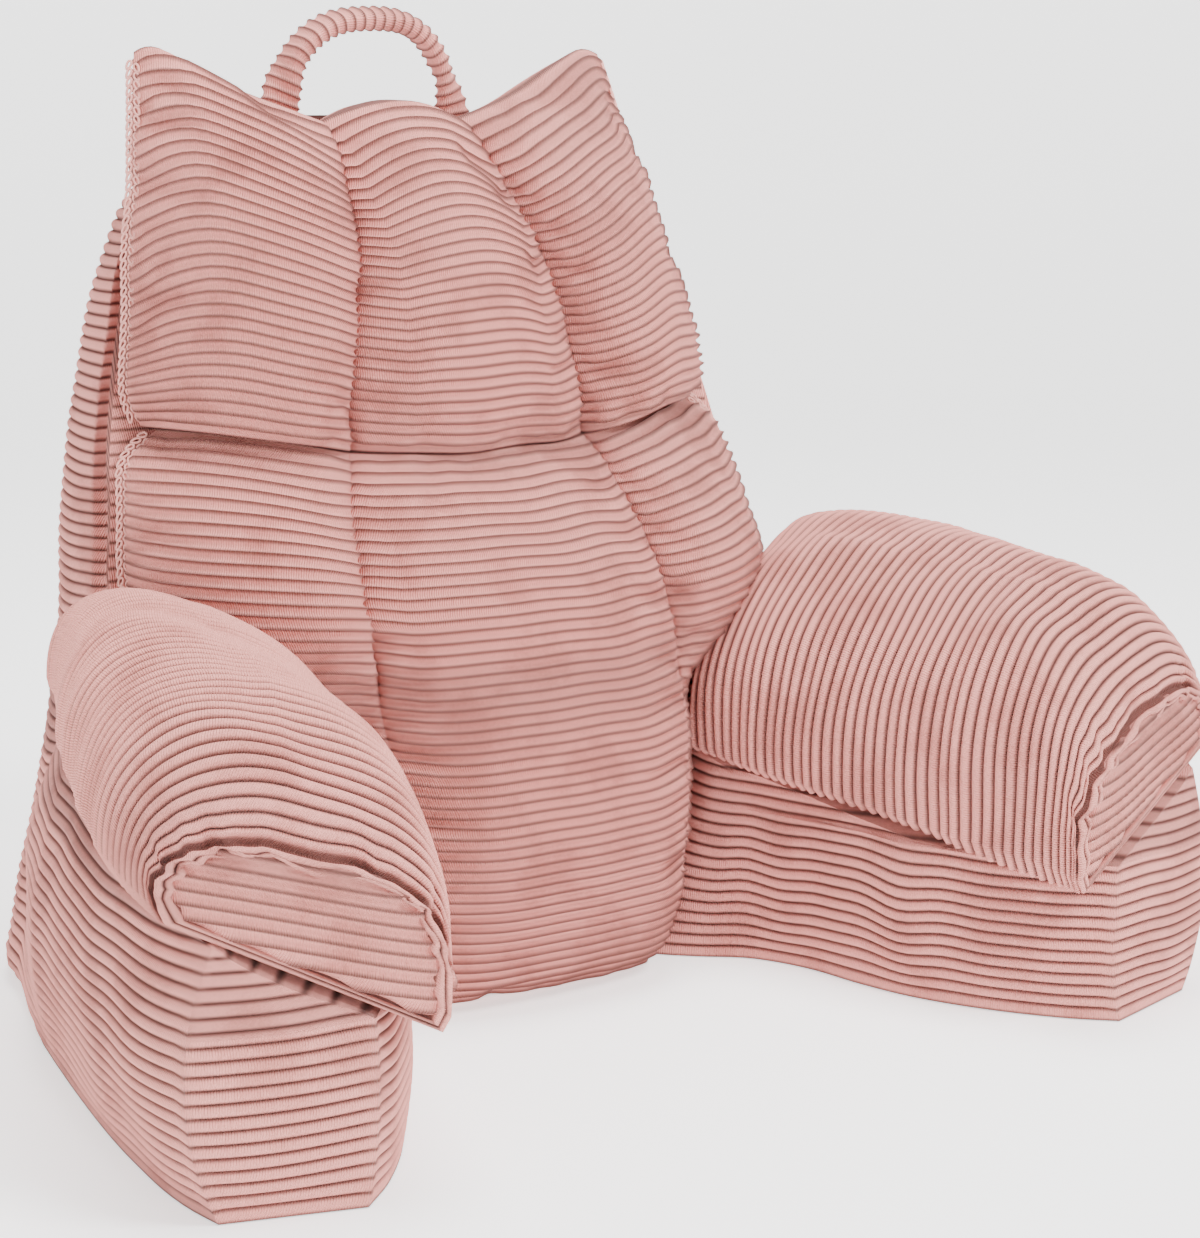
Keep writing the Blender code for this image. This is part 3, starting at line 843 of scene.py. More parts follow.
    def inner_end(self, z: Array) -> Array:
        """How far along the inner wall a row runs before it meets the seat."""
        lowest = self.inner_seat - 1e-7 * np.arange(len(self.inner_seat))
        return np.interp(z, lowest[::-1], self.inner_nodes[::-1])

    def inside_wall(self, rows: Array, columns: Array) -> Array:
        """An arm's inner wall from its root to its front corner or the seat; its rows undulate a little."""
        z = self.heights(rows)
        wanted = self.inner_end(z)[:, None] * columns[None, :]
        x, y = np.moveaxis(curve_at(self.inner_wall(z), self.inner_nodes, wanted), -1, 0)
        free = np.sin(np.pi * columns)[None, :] * np.sin(np.pi * np.clip(z / 0.11, 0.0, 1.0))[:, None]
        return BODY.placed(x, y, z[:, None] + 0.0035 * ripple(wanted, 0.085, 2.0) * free)

    def front_end(self, z: Array) -> Array:
        """Plan of the inner wall's front end at each height."""
        last = np.full((len(z), 1), self.inner_nodes[-1])
        return curve_at(self.inner_wall(z), self.inner_nodes, last)[:, 0]

    def seat_point(self, z: Array) -> Array:
        """Plan of the point where the seat's contour at height z reaches the end panel or the outer wall."""
        low, high = self.inner_seat[-1], self.outer_seat[-1]
        share = np.clip((z - low) / (high - low), 0.0, 1.0)[:, None]
        inner = self.front_end(z)
        return inner + (self.front_corner(z) - inner) * share

    def end_panel(self, rows: Array, columns: Array) -> Array:
        """An arm's front end: rows between its two corners, swelling forwards in the middle."""
        z = self.heights(rows)
        inner, outer = self.seat_point(z), self.front_corner(z)
        plan = inner[:, None] + (outer - inner)[:, None] * columns[None, :, None]
        full = self.front_end(z)
        share = np.linalg.norm(plan - full[:, None], axis=-1) / np.linalg.norm(outer - full, axis=-1)[:, None]
        low, high = self.inner_seat[-1], self.outer_seat[-1]
        ceiling = low + (high - low) * np.clip(share, 0.0, 1.0)
        up = np.clip(z[:, None] / ceiling, 0.0, 1.0)
        bulge = self.end_bulge * hump(share, 3.0) ** 0.6 * hump(up, 2.5)
        across = unit(outer - full)
        normal = np.stack([across[:, 1], -across[:, 0]], axis=-1)
        plan = plan + normal[:, None] * bulge[..., None]
        return BODY.placed(plan[..., 0], plan[..., 1], z[:, None])

    def seat_left(self, z: Array) -> Array:
        """Plan of the seat contour's inner end: on the inner wall, or on the front plane above it."""
        wall = curve_at(self.inner_wall(z), self.inner_nodes, self.inner_end(z)[:, None])[:, 0]
        y = BODY.front_plane(z)
        x = (z + BODY.gap - BODY.seat[0] - BODY.seat[2] * y) / BODY.seat[1]
        beyond = z > self.inner_seat[0]
        plan = np.where(beyond[:, None], np.stack([np.maximum(x, wall[:, 0]), y], axis=-1), wall)
        return np.where((z > self.outer_seat[0])[:, None], self.front_corner(z), plan)

    def seat_face(self, rows: Array, columns: Array) -> Array:
        """The arm's flat top under its pad, row by row along its contours."""
        z = self.heights(rows)
        first, last = self.seat_left(z), self.seat_point(z)
        last = np.where((z > self.outer_seat[-1])[:, None], self.front_corner(z), last)
        plan = first[:, None] + (last - first)[:, None] * columns[None, :, None]
        return BODY.placed(plan[..., 0], plan[..., 1], z[:, None])

    def front_face(self, rows: Array, columns: Array) -> Array:
        """The hidden front between the two roots, then between the two strips.

        It keeps to the front plane up to just short of its ends, where it steps to the strips' front corners.
        """
        z = self.heights(rows)
        root = np.where((z < self.inner_seat[0])[:, None], self.inner_wall(z)[:, 0], self.seat_left(z))
        plan = root[:, None] * np.stack([1.0 - 2.0 * columns, np.ones_like(columns)], axis=-1)[None]
        plan[:, 1:-1, 1] = BODY.front_plane(z)[:, None]
        return self.round_top(plan, rows)

    def cuts(self) -> list[Cut]:
        """All panels; the arms' ones come in mirrored pairs."""
        def mirror(surface: Surface) -> Surface:
            """The same surface on the other side."""
            return lambda rows, columns: surface(rows, columns) * MIRROR

        def wall(surface: Surface, wales: int, columns: Array, side: float) -> Cut:
            """A panel whose foot is sewn and whose upper edge runs on."""
            return Cut(surface, wales, columns, side=side, weave=COARSE, sewn_rows=(True, False))

        def plain(surface: Surface, wales: int, count: int, side: float, first: int = 0) -> Cut:
            """A hidden panel without ribs."""
            return Cut(surface, wales, np.linspace(0.0, 1.0, count), side=side, weave=COARSE, grooved=False,
                       first=float(first))

        half = np.concatenate([np.linspace(0.0, 0.30, 40), np.linspace(0.30, 0.5, 15)[1:]])
        round_columns = np.concatenate([half, 1.0 - half[::-1][1:]])
        made = [wall(self.outside, self.wales, round_columns, -1.0),
                plain(self.front_face, self.wales, 7, -1.0)]
        wall_top, end_top, seat_top = (self.rows_below(height) for height in (
            self.inner_seat.max(), self.outer_seat[-1], self.outer_seat[0]))
        seat_foot = int(np.floor(np.interp(self.inner_seat.min(), self.height_at, self.count_at)))
        for sign, turn in ((1.0, lambda surface: surface), (-1.0, mirror)):
            made += [wall(turn(self.inside_wall), wall_top, np.linspace(0.0, 1.0, 46), -sign),
                     wall(turn(self.end_panel), end_top, np.linspace(0.0, 1.0, 24), -sign),
                     plain(turn(self.seat_face), seat_top - seat_foot, 4, -sign, seat_foot)]
        return made


# ---------------------------------------------------------------------------------------------------------
# Arm pads and handle
# ---------------------------------------------------------------------------------------------------------

@dataclass
class ArmPad:
    """A tall crowned pad: rings over a flat seat, with a D-shaped panel at each end.

    The overhangs and the flank are shares of the half-width, the roundings are the shares of the height
    that are left at the ends, and the lengths are shares of the pad's own. inner and outer are the seat's
    edges in plan, from rear to front.
    """

    name: str
    node: str
    sign: float
    wales: int = 42
    height_rear: float = 0.103
    height_front: float = 0.123
    height_full: float = 0.7
    inner_overhang: float = 0.20
    outer_overhang: float = 0.07
    flank: float = 0.20
    rear_rounding: float = 0.78
    front_rounding: float = 0.54
    rear_length: float = 0.25
    front_length: float = 0.28
    fillet: float = 0.011
    crest_skew: float = 0.28
    rear_lean: float = 0.10
    lip_wales: int = 2
    lip_radius: float = 0.0060
    inner: Array = field(default_factory=lambda: np.array([(0.130, -0.063), (0.216, -0.345)]))
    outer: Array = field(default_factory=lambda: np.array([(0.292, -0.014), (0.358, -0.302)]))

    def ring(self, s: Array, turn: Array) -> Array:
        """Points of the dome at stations s (rear 0, front 1) and angles turn (inner edge pi, outer edge 0).

        A superellipse over the seat, lower at both ends by a quarter of an ellipse. Its inner flank is wider
        than the seat half way up, its outer flank is widest at the foot, and towards the front the crest
        moves inwards.
        """
        s, turn = np.broadcast_arrays(s[:, None], turn[None, :])
        inner = self.inner[0] + (self.inner[1] - self.inner[0]) * s[..., None]
        outer = self.outer[0] + (self.outer[1] - self.outer[0]) * s[..., None]
        rear, front = quarter(s / self.rear_length), quarter((1.0 - s) / self.front_length)
        growth = np.minimum(1.0, s / self.height_full)
        height = self.height_rear + (self.height_front - self.height_rear) * growth
        height = height * (self.rear_rounding + (1.0 - self.rear_rounding) * rear)
        height = height * (self.front_rounding + (1.0 - self.front_rounding) * front)
        swell = np.minimum(np.minimum(rear + 0.3, front + 0.6), 1.0)
        sine, cosine = np.clip(np.sin(turn), 0.0, 1.0), np.cos(turn)
        outer_overhang = self.outer_overhang + self.flank * smoothstep(0.0, 0.6, s) * front
        power = 0.87 - 0.17 * smoothstep(0.6, 1.0, s)
        rise = height * sine ** power * (1.0 - self.crest_skew * cosine * smoothstep(0.3, 1.0, s))
        draw = 1.0 - 0.07 * np.clip(1.0 - rise / self.fillet, 0.0, 1.0) ** 2
        outwards = np.where(cosine > 0.0, 1.0 + outer_overhang, 1.0 + self.inner_overhang * swell * sine)
        across = signed_power(cosine, power) * outwards * draw
        plan = (inner + outer) / 2.0 + (outer - inner) / 2.0 * across[..., None]
        y = plan[..., 1] + self.rear_lean * (1.0 - smoothstep(0.0, 0.4, s)) * rise
        z = BODY.seat_height(plan[..., 0], plan[..., 1]) + rise
        points = BODY.placed(plan[..., 0], y, z)
        points[..., 0] *= self.sign
        return points

    def stations(self, rows: Array) -> Array:
        """The station of each wale: even steps along the crest."""
        s = np.linspace(0.0, 1.0, 300)
        run = distances(self.ring(s, np.array([0.5 * np.pi, 0.75 * np.pi])).mean(axis=1))
        return np.interp(rows / self.wales, run / run[-1], s)

    def forward(self) -> Array:
        """The pad's own forward direction in plan."""
        middle = (self.inner + self.outer) / 2.0
        way = middle[1] - middle[0]
        way = way / np.linalg.norm(way)
        return np.array((self.sign * way[0], way[1], 0.0))

    def dome(self, rows: Array, turns: Array) -> Array:
        """The pad's crowned cover, whose last two wales roll over into a ruffled lip.

        Past the front seam the ring goes forwards by r sin and inwards by r (1 - cos), with r and its reach
        uneven along the seam.
        """
        body_rows = np.minimum(rows, float(self.wales))
        points = self.ring(self.stations(body_rows), turns)
        past = np.clip(rows - self.wales, 0.0, None)[:, None] / self.lip_wales * np.pi * 0.95
        length = (turns / np.pi)[None, :] * 0.26
        near = np.exp(-(np.clip(self.wales - rows, 0.0, None)[:, None] / 2.6) ** 2)
        ruffle = ripple(length, 0.030, 1.1 + self.sign)
        radius = self.lip_radius * (1.0 + 0.22 * ripple(length, 0.021, 2.2))
        rim = self.ring(np.ones(1), turns)
        inward = unit(rim.mean(axis=1, keepdims=True) - rim)
        points = points + self.forward() * (radius * np.sin(past) + 0.0028 * near * ruffle)[..., None]
        roll = radius * (1.0 - np.cos(past)) + 0.0016 * near * ripple(length, 0.024, 5.0)
        return points + inward * roll[..., None]

    def dome_pin(self, rows: Array, turns: Array) -> Array:
        """Sewn down at the seat and at both end seams."""
        ends = (rows < 1e-6) | (rows > self.wales - 0.5)
        edges = (turns < 1e-6) | (turns > np.pi - 1e-6)
        return (ends[:, None] | edges[None, :]).astype(float)

    def end_disc(self, s: float, inset: float, bulge: float, shift: float) -> Surface:
        """A D-shaped end panel as rows of constant height across the ring at station s.

        Args:
            s: The station, 0 or 1.
            inset: Share by which the panel is smaller than the ring.
            bulge: How far its middle stands out, in metres.
            shift: How far it stands in front of the ring, in metres.

        Returns:
            The panel's surface.
        """
        turns = np.linspace(0.0, np.pi, 181)
        ring = self.ring(np.full(1, s), turns)[0]
        outward = self.forward() * (1.0 if s > 0.5 else -1.0)

        def surface(rows: Array, columns: Array) -> Array:
            """The panel, from the seat up and from the inner to the outer side."""
            share = np.clip(rows / rows.max(), 0.0, 1.0)
            level = 0.02 + 0.96 * share
            outer_turn = np.interp(level, np.sin(turns[:91]) ** 0.70, turns[:91])
            right, left = (read_line(turn, turns, ring) for turn in (outer_turn, np.pi - outer_turn))
            points = left[:, None] + (right - left)[:, None] * columns[None, :, None]
            middle = ring.mean(axis=0)
            points = middle + (points - middle) * (1.0 - inset)
            crown = bulge * hump(columns, 4)[None, :] ** 0.5 * hump(share, 4)[:, None] ** 0.5
            return points + outward * (shift + crown)[..., None]
        return surface

    def slanted(self, points: Array) -> Array:
        """Wale count on an end panel: height over a line that rises outwards in a soft S."""
        across = np.abs(points[..., 0]) - 0.285
        drop = 0.20 * across - 0.003 * np.sin(1.6 * (across / 0.07))
        return (points[..., 2] - 0.42 * across + drop) / FINE.pitch

    def cuts(self) -> list[Cut]:
        """The dome with its lip."""
        turns = np.pi * (1.0 - np.linspace(0.0, 1.0, 68))
        return [Cut(self.dome, self.wales + self.lip_wales, turns, side=self.sign, pin=self.dome_pin,
                    sewn_columns=(False, False))]

    def panels(self) -> list[Cut]:
        """The two end panels, each of which becomes a closed shell of its own with a plain back."""
        return [Cut(self.end_disc(s, inset, 0.007, shift), 56, np.linspace(0.0, 1.0, 100),
                    side=self.sign * way, weave=Weave(phases=(0.0,)), slant=self.slanted)
                for s, inset, shift, way in ((1.0, 0.08, -0.0015, 1.0), (0.0, 0.02, 0.0, -1.0))]


@dataclass
class Handle:
    """The carrying strap: a ribbed soft tube in an arch that turns flat towards its top."""

    name: str = "carrying_handle"
    wales: int = 34
    half_span: float = 0.066
    top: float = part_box("handle")[1].z
    place_y: float = 0.131
    half_width: float = 0.0115
    half_thickness: float = 0.0055

    def strap(self, rows: Array, columns: Array) -> Array:
        """Rings along the arch x = half_span cos^0.8, z = foot + rise sin^0.8, each a superellipse."""
        foot = BODY.height - 0.012
        share = np.linspace(0.0, 1.0, 300)
        angle = np.pi * (1.0 - share)
        arch_x = self.half_span * signed_power(np.cos(angle), 0.8)
        arch_z = foot + (self.top - foot - self.half_thickness) * np.clip(np.sin(angle), 0.0, 1.0) ** 0.8
        run = np.append(0.0, np.cumsum(np.hypot(np.diff(arch_x), np.diff(arch_z))))
        wanted = rows / self.wales * run[-1]
        x, z, around = (np.interp(wanted, run, values) for values in (arch_x, arch_z, angle))
        out = np.stack([np.cos(around), np.zeros_like(x), np.sin(around)], axis=-1)
        turned = (np.radians(78.0) * smoothstep(0.0, 0.5, np.clip(np.sin(around), 0.0, 1.0) ** 1.5))[:, None]
        depth = np.array((0.0, 1.0, 0.0))[None, :]
        wide = np.cos(turned) * out + np.sin(turned) * depth
        thin = -np.sin(turned) * out + np.cos(turned) * depth
        centre = BODY.placed(x, np.full_like(x, self.place_y), z)
        circle = 2.0 * np.pi * columns
        across = (signed_power(np.cos(circle), 0.7) * self.half_width)[None, :, None]
        through = (signed_power(np.sin(circle), 0.7) * self.half_thickness)[None, :, None]
        return centre[:, None] + wide[:, None] * across + thin[:, None] * through

    def cuts(self) -> list[Cut]:
        """The strap, closed round itself."""
        return [Cut(self.strap, self.wales, np.linspace(0.0, 1.0, 25), side=-1.0,
                    sewn_columns=(False, False), weave=Weave(depth=0.0021, roundness=0.9))]


# ---------------------------------------------------------------------------------------------------------
# Overlocked edges
# ---------------------------------------------------------------------------------------------------------

@dataclass
class Overlock:
    """The edging along a cushion's outer sides: two rows of slanting thread loops."""

    name: str
    cushion: ChannelCushion
    lowest: float
    highest: float
    loop_length: float = 0.0056
    row_offset: float = 0.0027
    thread: float = 0.00085
    half_length: float = 0.0030
    half_breadth: float = 0.0015
    slant: float = 0.45
    lift: float = 0.0012
    loop_points: int = 14
    thread_points: int = 5

    def path(self, count: int, sign: float) -> tuple[Array, Array, Array]:
        """Points along the cushion's outer edge, with the directions along it and out of it."""
        level = np.linspace(self.lowest, self.highest, count) * self.cushion.wales
        x, z, _ = self.cushion.outline(level, np.array([sign]))
        x, z = x[:, 0], z[:, 0]
        points = BODY.placed(x, BODY.front_plane(z) - self.cushion.edge_thickness, z)
        points = wobble(points)
        along = unit(np.gradient(points, axis=0))
        facing = np.array((sign * 0.75, -0.66, 0.0))
        return points, along, unit(facing - along * (along @ facing)[:, None])

    def stitches(self, sign: float, row: int) -> Array:
        """One row of thread loops: loops x places round a loop x places round its thread x 3."""
        points, along, facing = self.path(400, sign)
        run = distances(points)
        middle = (np.arange(int(run[-1] / self.loop_length)) + 0.25 + 0.5 * row) * self.loop_length
        place, way, out = (read_line(middle, run, values) for values in (points, along, facing))
        side = np.cross(way, out)
        long = unit(way + side * (self.slant if row else -self.slant))
        short = np.cross(out, long)
        bend = np.linspace(0.0, 2.0 * np.pi, self.loop_points, endpoint=False)
        jitter = 1.0 + 0.12 * ripple(middle, 0.017, row + sign)
        lengthways = self.half_length * np.cos(bend)[None, :] * jitter[:, None]
        sideways = self.half_breadth * np.sin(bend) * (1.0 + 0.25 * np.cos(bend))
        centre = place + side * ((row - 0.5) * 2.0 * self.row_offset * sign) + out * self.lift
        loop = (centre[:, None] + long[:, None] * lengthways[..., None]
                + short[:, None] * sideways[None, :, None])
        forward = unit(np.roll(loop, -1, axis=1) - np.roll(loop, 1, axis=1))
        upright = np.broadcast_to(out[:, None], forward.shape)
        level = np.cross(forward, upright)
        around = np.linspace(0.0, 2.0 * np.pi, self.thread_points, endpoint=False)[None, None, :, None]
        round_thread = level[:, :, None] * np.cos(around) + upright[:, :, None] * np.sin(around)
        return loop[:, :, None] + self.thread * round_thread

    def build(self) -> bpy.types.Object:
        """All loops as one mesh: each a bent ring of thread, slanting in turn to one side and the other."""
        vertices, faces, start = [], [], 0
        for sign in (-1.0, 1.0):
            for row in (0, 1):
                tube = self.stitches(sign, row)
                number = start + np.arange(tube[..., 0].size).reshape(tube.shape[:3])
                ahead, beside = np.roll(number, -1, axis=1), np.roll(number, -1, axis=2)
                corner = np.roll(ahead, -1, axis=2)
                faces.append(np.stack([number, beside, corner, ahead], axis=-1).reshape(-1, 4))
                vertices.append(tube.reshape(-1, 3))
                start += number.size
        mesh = bpy.data.meshes.new(self.name)
        mesh.from_pydata(np.concatenate(vertices).tolist(), [], np.concatenate(faces).tolist())
        turn_outwards(mesh)
        mesh.shade_smooth()
        return linked(self.name, mesh)


# ---------------------------------------------------------------------------------------------------------
# Materials
# ---------------------------------------------------------------------------------------------------------

@dataclass(frozen=True)
class Corduroy:
    """A corduroy finish: colours in linear light, the groove colour being painted shade on the wales' flanks
    and in the grooves between them, and how strong its pile and its worn nap are.
    """

    name: str
    light: tuple[float, float, float] = (0.92, 0.358, 0.306)
    deep: tuple[float, float, float] = (0.64, 0.222, 0.184)
    # groove is painted shade: the darkening of the wales' flanks and of the grooves between them.
    groove: tuple[float, float, float] = (0.150, 0.052, 0.042)
    pile_height: float = 0.0008
    wear: float = 0.62

    def build(self) -> bpy.types.Material:
        """Colour from nap and painted groove shade, bump from pile; all constants sit on the shader's own
        sockets.
        """
        material = bpy.data.materials.new(self.name)
        material.use_nodes = True
        tree = material.node_tree
        shader = tree.nodes["Principled BSDF"]
        for label, value in (("Roughness", 0.92), ("Specular IOR Level", 0.2), ("Sheen Weight", 0.10),
                             ("Sheen Roughness", 0.45), ("Sheen Tint", (1.0, 0.86, 0.82, 1.0))):
            shader.inputs[label].default_value = value
        texture = tree.nodes.new("ShaderNodeUVMap")
        texture.uv_map = "wale_uv"
        place = tree.nodes.new("ShaderNodeTexCoord")
        nap = tree.nodes.new("ShaderNodeGroup")
        nap.node_tree = nap_group()
        pile = tree.nodes.new("ShaderNodeGroup")
        pile.node_tree = pile_group()
        for group in (nap, pile):
            tree.links.new(texture.outputs["UV"], group.inputs["Weave"])
            tree.links.new(place.outputs["Object"], group.inputs["Place"])
        for label, colour in (("Light", self.light), ("Deep", self.deep), ("Groove", self.groove)):
            nap.inputs[label].default_value = (*colour, 1.0)
        nap.inputs["Wear"].default_value = self.wear
        bump = tree.nodes.new("ShaderNodeBump")
        bump.inputs["Strength"].default_value = 1.0
        bump.inputs["Distance"].default_value = self.pile_height
        tree.links.new(nap.outputs["Color"], shader.inputs["Base Color"])
        tree.links.new(pile.outputs["Height"], bump.inputs["Height"])
        tree.links.new(bump.outputs["Normal"], shader.inputs["Normal"])
        return material


class Sockets(Enum):
    """The kinds of socket that the effects use."""

    VECTOR = "NodeSocketVector"
    COLOR = "NodeSocketColor"
    FLOAT = "NodeSocketFloat"


def effect(name: str, inputs: dict[str, Sockets],
           outputs: dict[str, Sockets]) -> tuple[bpy.types.NodeTree, bool]:
    """A shared node group with named sockets, and whether it still has to be filled."""
    if name in bpy.data.node_groups:
        return bpy.data.node_groups[name], False
    tree = bpy.data.node_groups.new(name, "ShaderNodeTree")
    for way, sockets in (("INPUT", inputs), ("OUTPUT", outputs)):
        for label, kind in sockets.items():
            tree.interface.new_socket(label, in_out=way, socket_type=kind.value)
    return tree, True


@dataclass
class Wiring:
    """Shorthand for adding nodes to one tree."""

    tree: bpy.types.NodeTree

    def link(self, source: object, target: bpy.types.NodeSocket) -> None:
        """Connect a socket, or set a plain number."""
        if isinstance(source, bpy.types.NodeSocket):
            self.tree.links.new(source, target)
        else:
            target.default_value = source

    def math(self, operation: str, first: object, second: object = 0.0) -> bpy.types.NodeSocket:
        """One math node."""
        node = self.tree.nodes.new("ShaderNodeMath")
        node.operation = operation
        self.link(first, node.inputs[0])
        self.link(second, node.inputs[1])
        return node.outputs[0]

    def ramp(self, value: object, low: float, high: float) -> bpy.types.NodeSocket:
        """A smooth 0 to 1 ramp between two values."""
        node = self.tree.nodes.new("ShaderNodeMapRange")
        node.interpolation_type = "SMOOTHSTEP"
        self.link(value, node.inputs["Value"])
        node.inputs["From Min"].default_value = low
        node.inputs["From Max"].default_value = high
        return node.outputs["Result"]

    def noise(self, place: object, scale: float, detail: float) -> bpy.types.NodeSocket:
        """Fractal noise at a vector."""
        node = self.tree.nodes.new("ShaderNodeTexNoise")
        self.link(place, node.inputs["Vector"])
        node.inputs["Scale"].default_value = scale
        node.inputs["Detail"].default_value = detail
        return node.outputs["Fac"]

    def mix(self, share: object, first: object, second: object) -> bpy.types.NodeSocket:
        """A colour between two."""
        node = self.tree.nodes.new("ShaderNodeMix")
        node.data_type = "RGBA"
        self.link(share, node.inputs[0])
        self.link(first, node.inputs[6])
        self.link(second, node.inputs[7])
        return node.outputs[2]


def nap_group() -> bpy.types.NodeTree:
    """Colour of the nap: soft patches where the pile lies another way, and painted shade that darkens each
    wale's flanks and the narrow groove between wales.
    """
    tree, new = effect("nap", {"Weave": Sockets.VECTOR, "Place": Sockets.VECTOR, "Light": Sockets.COLOR,
                               "Deep": Sockets.COLOR, "Groove": Sockets.COLOR, "Wear": Sockets.FLOAT},
                       {"Color": Sockets.COLOR})
    if not new:
        return tree
    wire = Wiring(tree)
    given = tree.nodes.new("NodeGroupInput").outputs
    result = tree.nodes.new("NodeGroupOutput").inputs
    parts = tree.nodes.new("ShaderNodeSeparateXYZ")
    tree.links.new(given["Weave"], parts.inputs[0])
    phase = wire.math("FRACT", parts.outputs["Y"])
    from_top = wire.math("ABSOLUTE", wire.math("SUBTRACT", phase, 0.5))
    # Painted shade: the groove colour is mixed in, at most 90 per cent, from part way down each wale's flank
    # to the bottom of the groove.
    groove = wire.ramp(from_top, 0.22, 0.490)
    patches = wire.noise(given["Place"], 22.0, 4.0)
    grain = wire.noise(given["Place"], 750.0, 2.0)
    speckle = wire.math("MULTIPLY", wire.math("SUBTRACT", grain, 0.5), 1.5)
    share = wire.math("MULTIPLY", wire.math("ADD", wire.ramp(patches, 0.46, 0.66), speckle), given["Wear"])
    coloured = wire.mix(share, given["Light"], given["Deep"])
    tree.links.new(wire.mix(wire.math("MULTIPLY", groove, 0.9), coloured, given["Groove"]), result["Color"])
    return tree


def pile_group() -> bpy.types.NodeTree:
    """Height of the pile: fine ribs across each wale, broken by noise, and a loose speckle."""
    tree, new = effect("pile", {"Weave": Sockets.VECTOR, "Place": Sockets.VECTOR}, {"Height": Sockets.FLOAT})
    if not new:
        return tree
    wire = Wiring(tree)
    given = tree.nodes.new("NodeGroupInput").outputs
    result = tree.nodes.new("NodeGroupOutput").inputs
    parts = tree.nodes.new("ShaderNodeSeparateXYZ")
    tree.links.new(given["Weave"], parts.inputs[0])
    drift = wire.math("MULTIPLY", wire.noise(given["Place"], 260.0, 1.0), 2.2)
    lean = wire.math("MULTIPLY", parts.outputs["Y"], 2.4)
    turn = wire.math("ADD", wire.math("ADD", wire.math("MULTIPLY", parts.outputs["X"], 4200.0), drift), lean)
    ribs = wire.math("MULTIPLY", wire.math("SINE", turn), 0.5)
    speckle = wire.noise(given["Place"], 1500.0, 2.0)
    tree.links.new(wire.math("ADD", ribs, wire.math("MULTIPLY", speckle, 0.9)), result["Height"])
    return tree


# ---------------------------------------------------------------------------------------------------------
# Studio
# ---------------------------------------------------------------------------------------------------------

@dataclass
class Studio:
    """A pale floor, soft light and the camera."""

    azimuth: float = -33.1
    elevation: float = 11.2
    distance: float = 1.75
    focal: float = 81.4
    target: tuple[float, float, float] = (0.031, -0.0252, 0.240)

    def camera(self) -> None:
        """Look at the target from the azimuth and elevation."""
        data = bpy.data.cameras.new("camera")
        data.lens, data.sensor_width = self.focal, 36.0
        data.clip_start, data.clip_end = 0.05, 60.0
        camera = linked("camera", data)
        turn, rise = np.radians(self.azimuth), np.radians(self.elevation)
        away = np.array((np.sin(turn) * np.cos(rise), -np.cos(turn) * np.cos(rise), np.sin(rise)))
        camera.location = np.array(self.target) + away * self.distance
        camera.rotation_euler = (np.pi / 2.0 - rise, 0.0, turn)
        bpy.context.scene.camera = camera

    def light(self, name: str, place: tuple[float, float, float], size: float, power: float) -> None:
        """A square soft box that faces the pillow."""
        data = bpy.data.lights.new(name, "AREA")
        data.shape, data.size, data.energy = "SQUARE", size, power
        lamp = linked(name, data)
        lamp.location = place
        aim = np.array(self.target) - np.array(place)
        flat = np.hypot(aim[0], aim[1])
        lamp.rotation_euler = (np.arctan2(flat, -aim[2]), 0.0, np.arctan2(-aim[0], aim[1]))

    def floor(self) -> None:
        """A wide pale floor just under the pillow, which curves up into a round backdrop all about it."""
        mesh = bpy.data.meshes.new("floor")
        bend = np.linspace(0.0, np.pi / 2.0, 13)
        radius = np.concatenate([(0.01, 2.5), 3.6 + 1.2 * np.sin(bend), (4.8,)])
        height = np.concatenate([(0.0, 0.0), 1.2 - 1.2 * np.cos(bend), (1.7,)]) - 0.0006
        turn = np.linspace(0.0, 2.0 * np.pi, 64, endpoint=False)
        radius, height, turn = np.broadcast_arrays(radius[:, None], height[:, None], turn)
        places = np.stack([radius * np.cos(turn), radius * np.sin(turn), height], axis=-1).reshape(-1, 3)
        index = np.arange(turn.size).reshape(turn.shape)
        beside = np.roll(index, -1, axis=1)
        quads = np.stack([index[:-1], index[1:], beside[1:], beside[:-1]], axis=-1).reshape(-1, 4)
        mesh.from_pydata(places.tolist(), [], quads.tolist() + [index[0].tolist()])
        mesh.update()
        mesh.shade_smooth()
        material = bpy.data.materials.new("pale_floor")
        material.use_nodes = True
        shader = material.node_tree.nodes["Principled BSDF"]
        for label, value in (("Base Color", (0.92, 0.92, 0.92, 1.0)), ("Roughness", 0.9),
                             ("Emission Color", (1.0, 1.0, 1.0, 1.0)), ("Emission Strength", 1.1)):
            shader.inputs[label].default_value = value
        mesh.materials.append(material)
        linked("floor", mesh)

    def build(self) -> None:
        """Set up everything that isn't the pillow."""
        self.camera()
        self.floor()
        self.light("key", (0.9, -1.8, 2.5), size=1.0, power=98.0)
        self.light("fill", (-2.2, -1.2, 1.3), size=2.0, power=6.0)
        self.light("top", (0.1, 0.1, 2.6), size=1.3, power=78.0)
        world = bpy.data.worlds.new("studio")
        world.use_nodes = True
        sky = world.node_tree.nodes["Background"]
        sky.inputs["Color"].default_value = (1.0, 0.99, 0.98, 1.0)
        sky.inputs["Strength"].default_value = 0.85
        bpy.context.scene.world = world


# ---------------------------------------------------------------------------------------------------------
# Assembly
# ---------------------------------------------------------------------------------------------------------

def attach(piece: bpy.types.Object, material: bpy.types.Material, nodes: tuple[str, ...]) -> None:
    """Dress a piece and tie it to the frame.

    Args:
        piece: The finished object.
        material: Its finish.
        nodes: The CAD nodes that it stands for.
    """
    piece.data.materials.clear()
    piece.data.materials.append(material)
    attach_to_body(piece, "root")
    if nodes:
        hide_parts(*nodes)
    LOG.info("%s: %d faces", piece.name, len(piece.data.polygons))


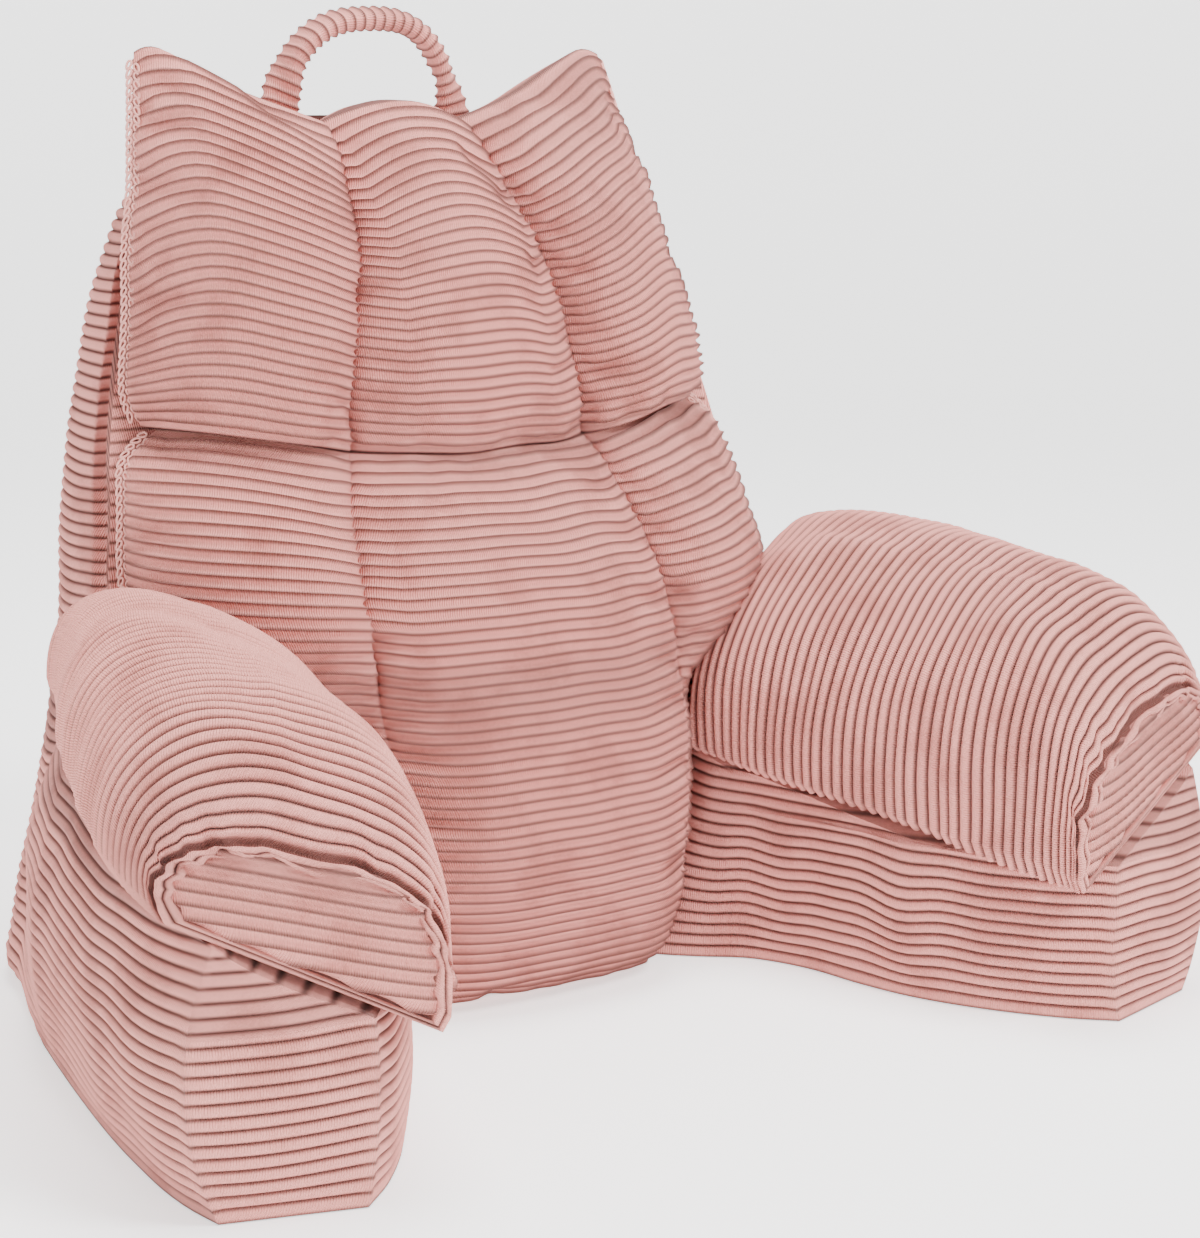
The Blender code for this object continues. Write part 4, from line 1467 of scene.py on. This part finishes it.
def join_shells(name: str, shells: list[bpy.types.Object]) -> bpy.types.Object:
    """Make one object of several closed shells."""
    shape = bmesh.new()
    for shell in shells:
        shape.from_mesh(shell.data)
    mesh = bpy.data.meshes.new(name)
    shape.to_mesh(mesh)
    shape.free()
    mesh.shade_smooth()
    mesh.set_sharp_from_angle(angle=SHARP_ANGLE)
    for shell in shells:
        bpy.data.objects.remove(shell)
    return linked(name, mesh)


def main() -> None:
    """Build every piece of the pillow in order, and report each one."""
    logging.basicConfig(level=logging.INFO, format="%(name)s: %(message)s")
    Studio().build()
    finish = {slot: Corduroy(f"{slot.value}_finish").build() for slot in Slot}
    thread_colour = (0.80, 0.37, 0.32)
    thread_finish = Corduroy("thread_finish", light=thread_colour, groove=thread_colour).build()

    head = HeadCushion(
        "head_cushion_corduroy", "head_cushion", wales=32, columns=(26, 40),
        crown=0.028, side_crown=0.044, channel_depth=0.066, sag=0.012, foot=0.74, foot_softness=1.0,
        top_share=0.2, top_spread=0.5, top_power=2.0, top_softness=0.7)
    lumbar = LumbarCushion(
        "lumbar_cushion_corduroy", "lumbar_cushion", wales=53, columns=(20, 44),
        crown=0.024, side_crown=0.047, channel_depth=0.092, sag=0.004, foot=0.2, foot_softness=0.55,
        top_share=0.55, top_spread=1.0, top_power=2.6, top_softness=1.0)
    for cushion in (head, lumbar):
        cuts = cushion.cuts()
        settle(cuts, pressure=2.5, slack=0.012, cap=0.006)
        attach(sew(cushion.name, cuts), finish[Slot.CUSHION], (cushion.node,))

    cover = Cover()
    whole_cover = sew(cover.name, cover.cuts())
    attach(whole_cover, finish[Slot.COVER], ("backrest", "arm_left", "arm_right"))

    for side, sign in (("left", -1.0), ("right", 1.0)):
        pad = ArmPad(f"arm_pad_{side}_corduroy", f"arm_pad_{side}", sign)
        cuts = pad.cuts()
        settle(cuts, pressure=2.5, slack=0.008, cap=0.004)
        shells = [sew(pad.name + "_dome", cuts, bridges=[(0, False)])]
        shells += [sew(f"{pad.name}_end_{number}", [panel]) for number, panel in enumerate(pad.panels())]
        attach(join_shells(pad.name, shells), finish[Slot.PAD], (pad.node,))

    handle = Handle()
    attach(sew(handle.name, handle.cuts()), finish[Slot.STRAP], ("handle",))

    for name, cushion, lowest in (("head_overlock", head, 0.02), ("lumbar_overlock", lumbar, 0.62)):
        attach(Overlock(name, cushion, lowest, 0.985).build(), thread_finish, ())


if __name__ == "__main__":
    main()
